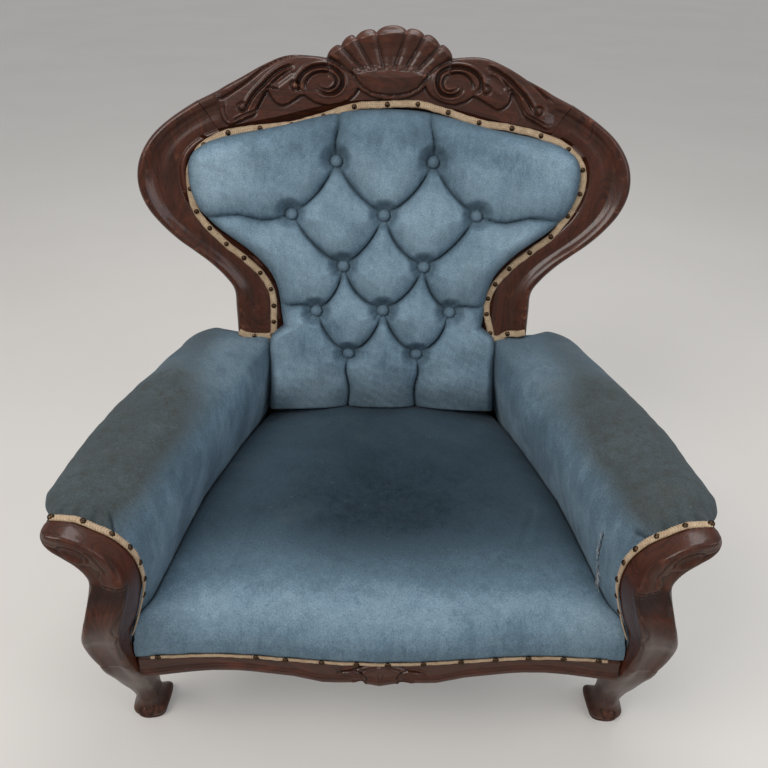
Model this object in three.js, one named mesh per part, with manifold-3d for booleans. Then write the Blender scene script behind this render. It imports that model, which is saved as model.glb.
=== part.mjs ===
// Old balloon-back armchair: carved mahogany show-wood, buttoned velvet back, sprung seat.
// Units are millimetres, +Z is up, the chair faces -Y, +X is the sitter's left hand side.
import * as THREE from 'three';
import { mergeVertices } from 'three/addons/utils/BufferGeometryUtils.js';
import Module from 'manifold-3d';

const wasm = await Module();
wasm.setup();

// ---- driving dimensions ----
const CLEAR = 0.3;               // gap left between two pieces that touch
const STUFF_GAP = 6.5;           // the stuffing stands this far off the spring cloth
const SOFT_CLEAR = 1.0;          // gap left around a stuffed piece
const RECLINE = 15.5;            // lean of the back from upright, degrees
const BACK_Y = 503;              // depth of the back plane where the show-wood starts
const BACK_Z = 505;              // height of the back plane where the show-wood starts
const BACK_WRAP = 18;            // how far the sides of the back come forward
const BACK_TUCK = 40;            // how far the foot of the back sets behind the plane
const PAD_FOOT_V = -138;         // lowest edge of the buttoned pad, measured along the plane
const FRAME_BACK = -28;          // rear face of the back frame, from the plane
const FRAME_FRONT = 3;           // flat that carries the braid, from the plane
const GIMP_WIDE = 11;            // width of the braid
const GIMP_THICK = 1.8;          // thickness of the braid
const SEAT_RAIL_TOP = 264;       // top of the seat rails
const SEAT_RAIL_FOOT = 222;      // underside of the seat rails, where the webbing is tacked
const SEAT_CROWN = 366;          // height of the seat at its fullest
const SEAT_SAG = 9;              // hollow worn into the middle of the seat
const RAIL_THICK = 26;           // thickness of the hidden rails
const POST_FRONT = -14;          // front face of the arm posts
const POST_BACK = 14;            // rear face of the arm posts
const SEAT_REAR_Y = 482;         // rear edge of the seat stuffing
const WEB_WIDE = 50;             // webbing strap width
const WEB_THICK = 1.6;           // webbing strap thickness
const HESSIAN = 2.0;             // thickness of the spring cloth
const SPRING_WIRE = 1.9;         // radius of the spring wire
const SPRING_RADIUS = 34;        // radius of a seat spring
const SPRING_TURNS = 3.5;         // turns in a seat spring
const BUTTON_RADIUS = 10.5;      // covered button radius
const BUTTON_RISE = 6;           // covered button dome height
const ARM_RAIL_TOP = 466;        // top of the hidden arm rail
const ARM_RAIL_DEEP = 26;        // depth of the hidden arm rail

// ---- small helpers ----
const V = (x, y, z) => new THREE.Vector3(x, y, z);
const rad = (d) => d * Math.PI / 180;
const clamp = (t, a, b) => Math.min(b, Math.max(a, t));
const smooth = (t) => {
  const k = clamp(t, 0, 1);
  return k * k * (3 - 2 * k);
};
const mix = (a, b, t) => a + (b - a) * t;

// value of a piecewise line through [key, value] pairs
function along(table, key) {
  if (key <= table[0][0]) return table[0][1];
  for (let i = 1; i < table.length; i++) {
    if (key <= table[i][0]) {
      const t = (key - table[i - 1][0]) / (table[i][0] - table[i - 1][0]);
      return mix(table[i - 1][1], table[i][1], t);
    }
  }
  return table[table.length - 1][1];
}

// smooth curve through rows of numbers, sampled at count places
function rows(list, count) {
  const out = [];
  const last = list.length - 1;
  for (let i = 0; i < count; i++) {
    const s = i / (count - 1) * last;
    const k = Math.min(Math.floor(s), last - 1);
    const t = s - k;
    const a = list[Math.max(k - 1, 0)];
    const b = list[k];
    const c = list[k + 1];
    const d = list[Math.min(k + 2, last)];
    out.push(b.map((_, j) => 0.5 * (2 * b[j] + (c[j] - a[j]) * t
      + (2 * a[j] - 5 * b[j] + 4 * c[j] - d[j]) * t * t
      + (3 * b[j] - a[j] - 3 * c[j] + d[j]) * t * t * t)));
  }
  return out;
}

// volume with sign, used to turn every solid outward
function volumeOf(geometry) {
  const p = geometry.attributes.position;
  const ix = geometry.index;
  let sum = 0;
  const a = V(0, 0, 0);
  const b = V(0, 0, 0);
  const c = V(0, 0, 0);
  for (let i = 0; i < ix.count; i += 3) {
    a.fromBufferAttribute(p, ix.getX(i));
    b.fromBufferAttribute(p, ix.getX(i + 1));
    c.fromBufferAttribute(p, ix.getX(i + 2));
    sum += a.dot(b.cross(c));
  }
  return sum / 6;
}

function turnOutward(geometry) {
  if (volumeOf(geometry) >= 0) return geometry;
  const ix = geometry.index.array;
  for (let i = 0; i < ix.length; i += 3) {
    const keep = ix[i];
    ix[i] = ix[i + 1];
    ix[i + 1] = keep;
  }
  return geometry;
}

// closed solid through rings of points, both ends capped
function loft(rings) {
  const n = rings[0].length;
  const pos = [];
  const idx = [];
  rings.forEach((r) => r.forEach((q) => pos.push(q.x, q.y, q.z)));
  for (let i = 0; i < rings.length - 1; i++) {
    for (let j = 0; j < n; j++) {
      const a = i * n + j;
      const b = i * n + (j + 1) % n;
      idx.push(a, b, b + n, a, b + n, a + n);
    }
  }
  const cap = (ring, base, flip) => {
    const mid = ring.reduce((s, q) => s.add(q), V(0, 0, 0)).multiplyScalar(1 / n);
    const normal = V(0, 0, 0);
    for (let j = 0; j < n; j++) {
      const a = ring[j].clone().sub(mid);
      const b = ring[(j + 1) % n].clone().sub(mid);
      normal.add(a.cross(b));
    }
    normal.normalize();
    const e1 = ring[0].clone().sub(mid);
    e1.addScaledVector(normal, -e1.dot(normal)).normalize();
    const e2 = normal.clone().cross(e1);
    const flat = ring.map((q) => {
      const d = q.clone().sub(mid);
      return new THREE.Vector2(d.dot(e1), d.dot(e2));
    });
    THREE.ShapeUtils.triangulateShape(flat, []).forEach((t) => {
      if (flip) idx.push(base + t[0], base + t[2], base + t[1]);
      else idx.push(base + t[0], base + t[1], base + t[2]);
    });
  };
  cap(rings[0], 0, true);
  cap(rings[rings.length - 1], (rings.length - 1) * n, false);
  const g = new THREE.BufferGeometry();
  g.setAttribute('position', new THREE.Float32BufferAttribute(pos, 3));
  g.setIndex(idx);
  return turnOutward(g);
}

function toManifold(geometry) {
  let g = new THREE.BufferGeometry();
  g.setAttribute('position', geometry.attributes.position.clone());
  if (geometry.index) g.setIndex(geometry.index.clone());
  g = mergeVertices(g, 1e-4);
  return new wasm.Manifold(new wasm.Mesh({
    numProp: 3,
    vertProperties: new Float32Array(g.attributes.position.array),
    triVerts: new Uint32Array(g.index.array),
  }));
}

function fromManifold(solid) {
  const m = solid.getMesh();
  const g = new THREE.BufferGeometry();
  g.setAttribute('position', new THREE.Float32BufferAttribute(m.vertProperties, 3));
  g.setIndex([...m.triVerts]);
  return g;
}

function union(list) {
  let solid = toManifold(list[0]);
  for (let i = 1; i < list.length; i++) solid = solid.add(toManifold(list[i]));
  return fromManifold(solid);
}

function subtract(a, list) {
  let solid = toManifold(a);
  for (const b of list) solid = solid.subtract(toManifold(b));
  return fromManifold(solid);
}

// the same solid on the other side of the chair
function mirrored(geometry) {
  const g = geometry.clone();
  g.scale(-1, 1, 1);
  return turnOutward(g);
}

function boxBetween(a, b) {
  const g = new THREE.BoxGeometry(b[0] - a[0], b[1] - a[1], b[2] - a[2]);
  g.translate((a[0] + b[0]) / 2, (a[1] + b[1]) / 2, (a[2] + b[2]) / 2);
  return g;
}

// ---- the leaning, gently hollow plane of the back ----
function onBack(u, v, w) {
  const r = rad(RECLINE);
  const wrap = BACK_WRAP * Math.pow(Math.abs(u) / 332, 2);
  const tuck = v < 0 ? BACK_TUCK * Math.pow(v / PAD_FOOT_V, 1.6) : 0;
  const d = w + wrap * smooth((v + 40) / 200);
  return V(u, BACK_Y + v * Math.sin(r) - d * Math.cos(r) + tuck,
    BACK_Z + v * Math.cos(r) + d * Math.sin(r));
}

// outline of the show-wood: inner u, inner v, outer u, outer v, from the foot to the middle
const BAND = [
  [181, 2, 253, 14], [187, 42, 251, 48], [191, 78, 253, 80], [201, 106, 269, 104],
  [218, 128, 291, 126], [241, 148, 315, 145], [266, 165, 340, 164], [291, 184, 364, 187],
  [313, 209, 385, 214], [327, 239, 397, 244], [332, 272, 398, 274], [327, 297, 389, 303],
  [312, 316, 369, 332], [292, 330, 338, 358], [268, 340, 297, 384],
];
const CREST = [
  [268, 340, 297, 384], [238, 347, 264, 400], [203, 354, 229, 418], [168, 361, 190, 439],
  [133, 370, 154, 452], [99, 378, 112, 452], [66, 384, 66, 446], [32, 387, 32, 444],
  [0, 388, 0, 444],
];

const BAND_STEPS = 29;           // two stations to each row above
const CREST_STEPS = 17;
const PAD_CORNER = 24;           // station where the opening turns from side to top

// section of the show-wood from the inner edge round to the rear: place across, height
const BAND_SECTION = [
  [0.04, 4.5], [0.26, 5.5], [0.5, 4], [0.64, 7], [0.78, 12.5], [0.9, 13],
  [0.985, 7], [1.0, -4], [0.96, -20], [0.84, FRAME_BACK],
];
const CREST_SECTION = [
  [0.04, 4.5], [0.24, 5], [0.48, 5], [0.68, 5], [0.84, 6], [0.93, 7.5],
  [0.985, 4], [1.0, -4], [0.97, -20], [0.88, FRAME_BACK],
];

function bandRing(p, section, side) {
  const du = p[2] - p[0];
  const dv = p[3] - p[1];
  const len = Math.hypot(du, dv);
  const inU = p[0] - du / len * GIMP_WIDE;
  const inV = p[1] - dv / len * GIMP_WIDE;
  const ring = [onBack(side * inU, inV, FRAME_BACK), onBack(side * inU, inV, FRAME_FRONT)];
  ring.push(onBack(side * p[0], p[1], FRAME_FRONT));
  section.forEach(([t, w]) => {
    ring.push(onBack(side * (p[0] + du * t), p[1] + dv * t, w));
  });
  return ring;
}

// raised carved stroke lying on the show-wood: u, v, half width, height
function stroke(points, count, base, side) {
  const path = rows(points, count);
  const rings = path.map((p, i) => {
    const a = path[Math.max(i - 1, 0)];
    const b = path[Math.min(i + 1, path.length - 1)];
    const len = Math.hypot(b[0] - a[0], b[1] - a[1]) || 1;
    const nu = -(b[1] - a[1]) / len;
    const nv = (b[0] - a[0]) / len;
    const place = (k, w) => onBack(side * (p[0] + nu * k * p[2]), p[1] + nv * k * p[2], w);
    return [
      place(-1, base - 4), place(-1, base + p[3] * 0.3), place(-0.45, base + p[3]),
      place(0.45, base + p[3]), place(1, base + p[3] * 0.3), place(1, base - 4),
    ];
  });
  return loft(rings);
}

function knob(u, v, radius, base, rise, side) {
  const rings = [];
  const profile = [[1, -4], [1, rise * 0.3], [0.72, rise * 0.8], [0.25, rise]];
  profile.forEach(([k, w]) => {
    const ring = [];
    for (let j = 0; j < 8; j++) {
      const a = j / 8 * 2 * Math.PI;
      ring.push(onBack(side * (u + Math.cos(a) * radius * k), v + Math.sin(a) * radius * k,
        base + w));
    }
    rings.push(ring);
  });
  return loft(rings);
}

// ---- carved crest: scallop shell between two volutes with acanthus leaves ----
const SHELL_LOBES = [-100, -80, -56, -20, 20, 56, 80, 100];
const SHELL_NOTCH = [454, 471, 484, 488, 488, 484, 471, 454];
const SHELL_TIP = [466, 482, 494, 500, 494, 482, 466];
const SHELL_HUB = [44, 431];
const SHELL_FOOT = [
  [-100, 450], [-80, 443], [-66, 432], [-54, 418], [-44, 406], [-28, 396], [0, 391],
  [28, 396], [44, 406], [54, 418], [66, 432], [80, 443], [100, 450],
];

function shellSolid() {
  const perLobe = 4;
  const rings = [];
  const total = 7 * perLobe;
  for (let i = 0; i <= total; i++) {
    const lobe = Math.min(Math.floor(i / perLobe), 6);
    const t = (i - lobe * perLobe) / perLobe;
    const arch = Math.sin(Math.PI * t);
    const bulge = Math.sqrt(arch);
    const centre = (SHELL_LOBES[lobe] + SHELL_LOBES[lobe + 1]) / 2;
    const rimU = mix(SHELL_LOBES[lobe], SHELL_LOBES[lobe + 1], t) + centre * 0.045 * arch;
    const notch = mix(SHELL_NOTCH[lobe], SHELL_NOTCH[lobe + 1], t);
    const chord = (SHELL_NOTCH[lobe] + SHELL_NOTCH[lobe + 1]) / 2;
    const rimV = notch + (SHELL_TIP[lobe] - chord) * bulge;
    const s = i / total;
    const hubU = mix(-SHELL_HUB[0], SHELL_HUB[0], s);
    const hubV = SHELL_HUB[1] - 4 + 4 * Math.sin(Math.PI * s);
    const foot = rows(SHELL_FOOT, total + 1)[i];
    const edge = smooth(Math.min(s, 1 - s) * 7);
    const at = (k) => [mix(hubU, rimU, k), mix(hubV, rimV, k)];
    const down = (k) => [mix(hubU, foot[0], k), mix(hubV, foot[1], k)];
    const ridge = bulge * 7;
    const ring = [];
    const put = (q, w) => ring.push(onBack(q[0], q[1], w));
    put(down(1), -16);
    put(down(1), 5);
    put(down(0.92), 6 + 7 * edge);
    put(down(0.6), 7 + 10.5 * edge);
    put(down(0.25), 8 + 11 * edge);
    put(at(0.02), 8 + 8 * edge);
    put(at(0.16), 6 + 4 * edge + ridge * 0.55);
    put(at(0.36), 6 + 3 * edge + ridge * 0.85);
    put(at(0.58), 7 + 3.5 * edge + ridge);
    put(at(0.78), 9 + 5 * edge + ridge);
    put(at(0.92), 10 + 6 * edge + ridge * 0.9);
    put(at(0.985), 8 + 4 * edge + ridge * 0.5);
    put(at(1), 3);
    put(at(0.97), -16);
    rings.push(ring);
  }
  return loft(rings);
}

function volute(side) {
  const points = [];
  const turns = 1.72;
  const steps = 16;
  for (let i = 0; i <= steps; i++) {
    const t = i / steps;
    const a = rad(196) - t * turns * 2 * Math.PI;
    const r = mix(39, 11, Math.pow(t, 0.8));
    points.push([101 + Math.cos(a + Math.PI) * r * 1.06, 412 + Math.sin(a) * r * 0.9,
      mix(9.2, 5.2, t), mix(12, 11, t)]);
  }
  return stroke(points, 20, 2, side);
}

function crestCarving(side) {
  return [
    volute(side),
    knob(101, 413, 10, 3, 10.5, side),
    // long outer leaf that rides the top edge down to its curled end
    stroke([[146, 439, 4, 5], [166, 437, 8, 10], [195, 427, 11, 11], [222, 409, 12, 11],
      [246, 391, 12, 11], [262, 374, 10, 10], [262, 359, 7, 8], [251, 352, 4, 6]], 12, 2, side),
    // slender middle blade
    stroke([[160, 430, 3, 6], [180, 421, 6.5, 11], [199, 404, 7.5, 12], [213, 386, 7.5, 12],
      [224, 369, 7, 11], [233, 361, 5, 8]], 10, 2, side),
    // short leaf that hooks back to the volute
    stroke([[190, 404, 5, 8], [190, 391, 6.5, 10], [179, 383, 7, 11], [163, 386, 7, 11],
      [147, 395, 6, 10], [134, 398, 5, 9]], 10, 2, side),
    knob(240, 374, 7, 3, 9, side),
    knob(152, 407, 7.5, 3, 9.5, side),
    knob(170, 403, 9, 2, 6, side),
  ];
}

function crestRail() {
  const half = rows(CREST, CREST_STEPS);
  const rings = [];
  half.forEach((p) => rings.push(bandRing(p, CREST_SECTION, -1)));
  half.slice(0, -1).reverse().forEach((p) => rings.push(bandRing(p, CREST_SECTION, 1)));
  return union([loft(rings), shellSolid(), ...crestCarving(-1), ...crestCarving(1)]);
}

function stile(side) {
  const path = rows(BAND, BAND_STEPS);
  // the joint with the crest rail is left a hair open
  const last = path[path.length - 1];
  const before = path[path.length - 2];
  const run = Math.hypot(last[0] - before[0], last[1] - before[1]);
  const cut = 1 - 2 * CLEAR / run;
  path[path.length - 1] = before.map((b, j) => mix(b, last[j], cut));
  return loft(path.map((p) => bandRing(p, BAND_SECTION, side)));
}

// ---- arm post, scroll and front leg in one piece ----
// outer x, outer z, inner x, inner z, front y, rear y, how far the rear inner edge steps in
const POST = [
  [416, 499, 411, 511, -8, POST_BACK, 0], [404, 483, 396, 513, -13, POST_BACK, 0],
  [390, 471, 376, 509, -15, POST_BACK, 0],
  [377, 459, 355, 498, -16, POST_BACK, 0],
  [368, 446, 336, 481, -17, POST_BACK, 5],
  [365, 431, 322, 458, -17, POST_BACK, 7],
  [367, 414, 314, 433, -26, POST_BACK, 5],
  [371, 394, 318, 408, -39, POST_BACK, 9],
  [378, 370, 325, 383, -42, POST_BACK, 11],
  [386, 345, 334, 352, -34, POST_BACK, 11],
  [391, 322, 341, 326, -23, POST_BACK, 7],
  [391, 298, 341, 302, -15, POST_BACK, 1],
  [388, 279, 340, 281, -10, POST_BACK, 0], [384, 265.6, 339, 266.2, -7, POST_BACK, 0],
];
// centre x, centre y, z, half width, half depth
const LEG = [
  [361, 22, 262, 24, 29], [360, 29, 240, 25, 28], [360, 44, 205, 25, 26],
  [363, 63, 165, 22.5, 24], [366, 84, 122, 19.5, 21], [371, 103, 82, 17, 19],
  [375, 117, 50, 17, 19], [377, 125, 30, 21, 24], [377, 129, 17, 27, 31],
  [377, 131, 9, 27, 31], [377, 131, 7, 24, 28], [377, 131, 0, 24, 28],
];
// unit section: across (inner side positive), depth (front negative)
const POST_SECTION = [
  [-1, -0.5], [-0.86, -0.93], [-0.6, -1], [-0.35, -0.8], [0.2, -0.78], [0.58, -1],
  [0.86, -0.94], [1, -0.5], [1, 1], [0.2, 1], [-0.8, 1], [-1, 0.7],
];
const LEG_SECTION = [
  [-1, -0.45], [-0.82, -0.82], [-0.45, -1], [-0.1, -1.04], [0.3, -1.0], [0.62, -0.93],
  [0.88, -0.75], [1, -0.35], [0.98, 0.9], [0.3, 1], [-0.7, 1], [-1, 0.6],
];

function frontPost(side) {
  const rings = [];
  rows(POST, 18).forEach((p) => {
    const rear = Math.min(p[5], POST_BACK);
    const cy = (p[4] + rear) / 2;
    const hy = (rear - p[4]) / 2;
    rings.push(POST_SECTION.map(([s, d]) => {
      const t = (s + 1) / 2;
      const step = p[6] * Math.max(s, 0) * Math.max(d + 0.5, 0) / 1.5;
      return V(side * (mix(p[0], p[2], t) - step), cy + d * hy, mix(p[1], p[3], t));
    }));
  });
  rows(LEG, 13).forEach((p, i) => {
    const k = smooth(i / 4);
    rings.push(LEG_SECTION.map(([s, d], j) => {
      const ss = mix(POST_SECTION[j][0], s, k);
      const dd = mix(POST_SECTION[j][1], d, k);
      return V(side * (p[0] - ss * p[3]), p[1] + dd * p[4], p[2]);
    }));
  });
  const body = loft(rings);
  // carved leaf on the scroll head and down the face of the post
  const ridge = (points, count) => {
    const path = rows(points, count);
    return loft(path.map((p, i) => {
      const a = path[Math.max(i - 1, 0)];
      const b = path[Math.min(i + 1, path.length - 1)];
      const len = Math.hypot(b[0] - a[0], b[1] - a[1]) || 1;
      const nx = -(b[1] - a[1]) / len;
      const nz = (b[0] - a[0]) / len;
      const put = (k, y) => V(side * (p[0] + nx * k * p[2]), y, p[1] + nz * k * p[2]);
      const f = POST_FRONT;
      return [put(-1, f + 9), put(-1, f - p[3] * 0.2), put(-0.4, f - p[3]),
        put(0.4, f - p[3]), put(1, f - p[3] * 0.2), put(1, f + 9)];
    }));
  };
  const carving = [
    ridge([[403, 500, 4, 2], [388, 496, 6, 5], [371, 488, 6, 5], [357, 474, 5, 5],
      [349, 456, 3, 3]], 9),
    ridge([[398, 489, 3, 2], [384, 480, 5, 6], [371, 467, 5.5, 7], [361, 452, 4.5, 7],
      [356, 440, 3, 6]], 8),
    ridge([[346, 470, 3, 5], [340, 458, 5, 7], [333, 447, 4, 7]], 5),
    // raised lip that ends the leaf above the waist
    ridge([[319, 449, 3, 6], [328, 441, 4, 8], [340, 438, 4, 8], [351, 441, 3, 6]], 6),
  ];
  return union([body, ...carving]);
}

// rear leg, raked back at the floor and carried up inside as the back post
const REAR_LEG = [
  [236, 604, 0, 15, 16], [235, 592, 45, 16, 17], [233, 572, 120, 18, 20],
  [230, 552, 200, 21, 22], [228, 547, 262, 21, 22], [225, 549, 330, 20, 20],
  [221, 546, 395, 19, 17], [217, 537, 450, 19, 14], [215, 528, 492, 18, 12],
];
const ROUNDED = [
  [-1, -0.75], [-0.75, -1], [0.75, -1], [1, -0.75], [1, 0.75], [0.75, 1], [-0.75, 1],
  [-1, 0.75],
];

// height of the stile's sloping foot above a point of the post below it
function stileFoot(x, y) {
  const r = rad(RECLINE);
  const [inU, inV] = woodEdge(BAND[0]);
  const v = inV + (x - inU) / (BAND[0][2] - inU) * (BAND[0][3] - inV);
  const d = (BACK_Y + v * Math.sin(r) - y) / Math.cos(r);
  return BACK_Z + v * Math.cos(r) + d * Math.sin(r);
}

function rearLeg(side) {
  const path = rows(REAR_LEG, 14);
  return loft(path.map((p, i) => ROUNDED.map(([a, b]) => {
    const x = p[0] + a * p[3];
    const y = p[1] + b * p[4];
    const z = i === path.length - 1 ? stileFoot(x, y) - CLEAR : p[2];
    return V(side * x, y, z);
  })));
}

// ---- seat frame ----
const RAIL_END = 334.6;
const FRONT_Y = [[0, 1], [60, 3], [122, 8], [180, 13], [233, 15], [290, 12], [346, 8]];
const FRONT_FOOT = [[0, 224], [55, 226], [120, 234], [200, 236], [260, 233], [324, 226]];
const frontFace = (x) => along(FRONT_Y, Math.abs(x));

function frontRail() {
  const rings = [];
  const n = 17;
  for (let i = 0; i < n; i++) {
    const x = mix(-RAIL_END, RAIL_END, i / (n - 1));
    const y = frontFace(x);
    const foot = along(FRONT_FOOT, Math.abs(x));
    rings.push([
      V(x, y + 3, SEAT_RAIL_TOP), V(x, y, SEAT_RAIL_TOP - 3), V(x, y - 1, foot + 16),
      V(x, y - 4, foot + 10), V(x, y - 3, foot + 3), V(x, y + 2, foot),
      V(x, y + 9, foot + 1), V(x, y + 11, SEAT_RAIL_FOOT),
      V(x, y + RAIL_THICK, SEAT_RAIL_FOOT), V(x, y + RAIL_THICK, SEAT_RAIL_TOP),
    ]);
  }
  const body = loft(rings);
  const motif = (points, count, side) => {
    const path = rows(points, count);
    return loft(path.map((p, i) => {
      const a = path[Math.max(i - 1, 0)];
      const b = path[Math.min(i + 1, path.length - 1)];
      const len = Math.hypot(b[0] - a[0], b[1] - a[1]) || 1;
      const nx = -(b[1] - a[1]) / len;
      const nz = (b[0] - a[0]) / len;
      const put = (k, rise) => {
        const x = p[0] + nx * k * p[2];
        return V(side * x, frontFace(x) + 6 - rise, p[1] + nz * k * p[2]);
      };
      return [put(-1, 0), put(-1, 6), put(-0.5, 6 + p[3]), put(0.5, 6 + p[3]), put(1, 6),
        put(1, 0)];
    }));
  };
  const parts = [];
  [-1, 1].forEach((side) => {
    parts.push(motif([[74, 244, 2, 2], [60, 251, 4, 5], [42, 253, 5, 6], [27, 246, 5, 6],
      [22, 235, 4.5, 6], [30, 228, 4, 5], [38, 233, 3, 4]], 12, side));
    parts.push(motif([[52, 238, 2, 3], [58, 230, 4, 5], [72, 231, 3, 4], [84, 240, 2, 2]],
      6, side));
  });
  parts.push(motif([[-17, 257, 3, 3], [-9, 250, 5, 6], [0, 247, 6, 7], [9, 250, 5, 6],
    [17, 257, 3, 3]], 7, 1));
  parts.push(motif([[0, 242, 6, 5], [0, 233, 7, 7], [0, 225, 5, 5]], 4, 1));
  return union([body, ...parts]);
}

const LEG_REAR = 71;             // rear of the front leg at the underside of the rails
// the plan line of the hidden side rail: outer face
const sideOuter = (y) => mix(352, 249, (y - 52) / (522 - 52));

function sideRail(side) {
  const y0 = LEG_REAR + CLEAR;
  const y1 = 522;
  const out = [];
  [y0, y1].forEach((y) => {
    const x = sideOuter(y);
    out.push([V(side * x, y, SEAT_RAIL_FOOT), V(side * x, y, SEAT_RAIL_TOP),
      V(side * (x - RAIL_THICK), y, SEAT_RAIL_TOP),
      V(side * (x - RAIL_THICK), y, SEAT_RAIL_FOOT)]);
  });
  return loft(out);
}

function backRail() {
  const half = 206.5;
  return boxBetween([-half, 532, SEAT_RAIL_FOOT], [half, 532 + RAIL_THICK, SEAT_RAIL_TOP]);
}

function tackRail() {
  const half = 203.5;
  return boxBetween([-half, 533, 318], [half, 533 + 18, 352]);
}

function cornerBlock(side, rear) {
  const z0 = SEAT_RAIL_FOOT + 4;
  const z1 = SEAT_RAIL_TOP - 8;
  let plan;
  if (rear) {
    const inside = (y) => sideOuter(y) - RAIL_THICK - CLEAR;
    const y = 532 - CLEAR;
    plan = [[inside(450), 450], [inside(518), 518], [206, 521], [206, y], [150, y]];
  } else {
    const y = 15 + RAIL_THICK + CLEAR;
    plan = [[255, y], [322, y], [323, y + 8], [sideOuter(118) - RAIL_THICK - CLEAR, 118]];
  }
  return loft([z0, z1].map((z) => plan.map(([x, y]) => V(side * x, y, z))));
}

// ---- hidden seat filling ----
// inner face of the arm where it meets the seat: y, x
const ARM_FOOT = [
  [POST_BACK, 340], [26, 336], [40, 329], [55, 322], [129, 308], [260, 288], [384, 253], [488, 217],
];
const armFoot = (y) => along(ARM_FOOT, y);
const ARM_RAIL_WIDE = 40;
const ARM_RAIL_END = 518.5;
const armRailIn = (y) => mix(349, 212, (y - POST_BACK) / (ARM_RAIL_END - POST_BACK));
const HES_FRONT = 30;
const HES_REAR = 538;
const hesHalf = (y) => sideOuter(clamp(y, 52, 522)) - 14;
function hessianTop(x, y) {
  const a = clamp(Math.abs(x) / (armFoot(y) - 8), 0, 1);
  const b = clamp(Math.abs((y - 262) / 226), 0, 1);
  const dome = (1 - Math.pow(a, 3.2)) * (1 - Math.pow(b, 3.6));
  return SEAT_RAIL_TOP + CLEAR + HESSIAN + 44 * Math.max(dome, 0);
}

function hessian() {
  const rings = [];
  const across = 11;
  const y0 = HES_FRONT;
  const y1 = 520;
  for (let i = 0; i <= 11; i++) {
    const y = mix(y0, y1, i / 11);
    const hw = y < 56 ? 318 : (y > 505 ? 205 : hesHalf(y));
    const top = [];
    const low = [];
    for (let j = 0; j < across; j++) {
      const inner = Math.min(armFoot(y) - 8, hw - 1);
      const k = j - (across - 1) / 2;
      const rim = Math.abs(k) === (across - 1) / 2;
      const x = rim ? Math.sign(k) * hw : inner * k / ((across - 3) / 2);
      const z = hessianTop(x, y);
      top.push(V(x, y, z));
      low.unshift(V(x, y, z - HESSIAN));
    }
    rings.push([...top, ...low]);
  }
  return loft(rings);
}

function strap(a, b, z, wide) {
  const dx = b[0] - a[0];
  const dy = b[1] - a[1];
  const len = Math.hypot(dx, dy);
  const nx = -dy / len * wide / 2;
  const ny = dx / len * wide / 2;
  const ring = (p, zz) => [V(p[0] - nx, p[1] - ny, zz), V(p[0] + nx, p[1] + ny, zz),
    V(p[0] + nx, p[1] + ny, zz + WEB_THICK), V(p[0] - nx, p[1] - ny, zz + WEB_THICK)];
  return loft([ring(a, z), ring(b, z)]);
}
const WEB_Z = SEAT_RAIL_FOOT - CLEAR - WEB_THICK;
const WEB_Z2 = WEB_Z - CLEAR - WEB_THICK;

function coil(x, y, z0, z1) {
  const perTurn = 6;
  const n = Math.round(SPRING_TURNS * perTurn);
  const rings = [];
  for (let i = 0; i <= n; i++) {
    const t = i / n;
    const a = (t * SPRING_TURNS + 0.25) * 2 * Math.PI;
    const r = SPRING_RADIUS * (1 - 0.28 * Math.sin(Math.PI * t));
    const c = V(x + Math.cos(a) * r, y + Math.sin(a) * r,
      mix(z0 + SPRING_WIRE, z1 - SPRING_WIRE, t));
    const out = V(Math.cos(a), Math.sin(a), 0);
    const ring = [];
    for (let k = 0; k < 4; k++) {
      const b = k / 4 * 2 * Math.PI;
      ring.push(c.clone().addScaledVector(out, Math.cos(b) * SPRING_WIRE)
        .add(V(0, 0, Math.sin(b) * SPRING_WIRE)));
    }
    rings.push(ring);
  }
  return loft(rings);
}

// ---- upholstery ----
const SEAT_TOP = [
  [0, 290], [6, 306], [16, 320], [34, 334], [64, 346], [112, 356], [180, 363],
  [262, SEAT_CROWN], [340, 369], [410, 371], [455, 369], [SEAT_REAR_Y, 360],
];

// inner face of the stuffed arm at a depth and a height
function armInside(y, z) {
  const line = armSection(y).slice(0, 7).map((q) => [q[1], q[0]]);
  return along(line, z);
}

// half width of the seat stuffing where its edge stands at depth y
function seatHalf(y, depth) {
  if (y < POST_BACK + CLEAR) return 337;
  const edge = along(SEAT_TOP, depth) - 12;
  const heights = [SEAT_RAIL_TOP + 6, 290, 310, edge].map((z) => armInside(y, z));
  return Math.min(337, ...heights) - SOFT_CLEAR * 1.5;
}

function seatTop(x, y, depth, hw) {
  const a = clamp(Math.abs(x) / hw, 0, 1);
  const sag = SEAT_SAG * Math.exp(-((x / 120) ** 2) - (((y - 250) / 110) ** 2));
  const roll = 16 * Math.pow(a, 4) * smooth(depth / 60) + 6 * Math.pow(a, 8);
  return along(SEAT_TOP, depth) - sag - roll;
}

function seatPad() {
  const rings = [];
  const depths = [0, 3, 9, 20, 38, 62, 95, 135, 180, 225, 270, 315, 360, 400, 435, 462,
    SEAT_REAR_Y];
  const across = 17;
  depths.forEach((d) => {
    const top = [];
    const low = [];
    for (let j = 0; j < across; j++) {
      const s = j / (across - 1) * 2 - 1;
      const k = Math.sign(s) * (1 - Math.pow(1 - Math.abs(s), 1.25));
      const blend = 1 - smooth(d / 160);
      const hw = seatHalf(d + (frontFace(330) + 1) * blend + 6 * (1 - blend), d);
      const x = k * hw;
      const y = d + (frontFace(x) + 1) * blend + 6 * (1 - blend);
      top.push(V(x, y, Math.max(seatTop(x, y, d, hw), SEAT_RAIL_TOP + 14)));
      if (j % 2 === 0) {
        low.unshift(V(x, y, hessianTop(x, y) + STUFF_GAP));
      }
    }
    rings.push([...top, ...low]);
  });
  return loft(rings);
}

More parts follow.
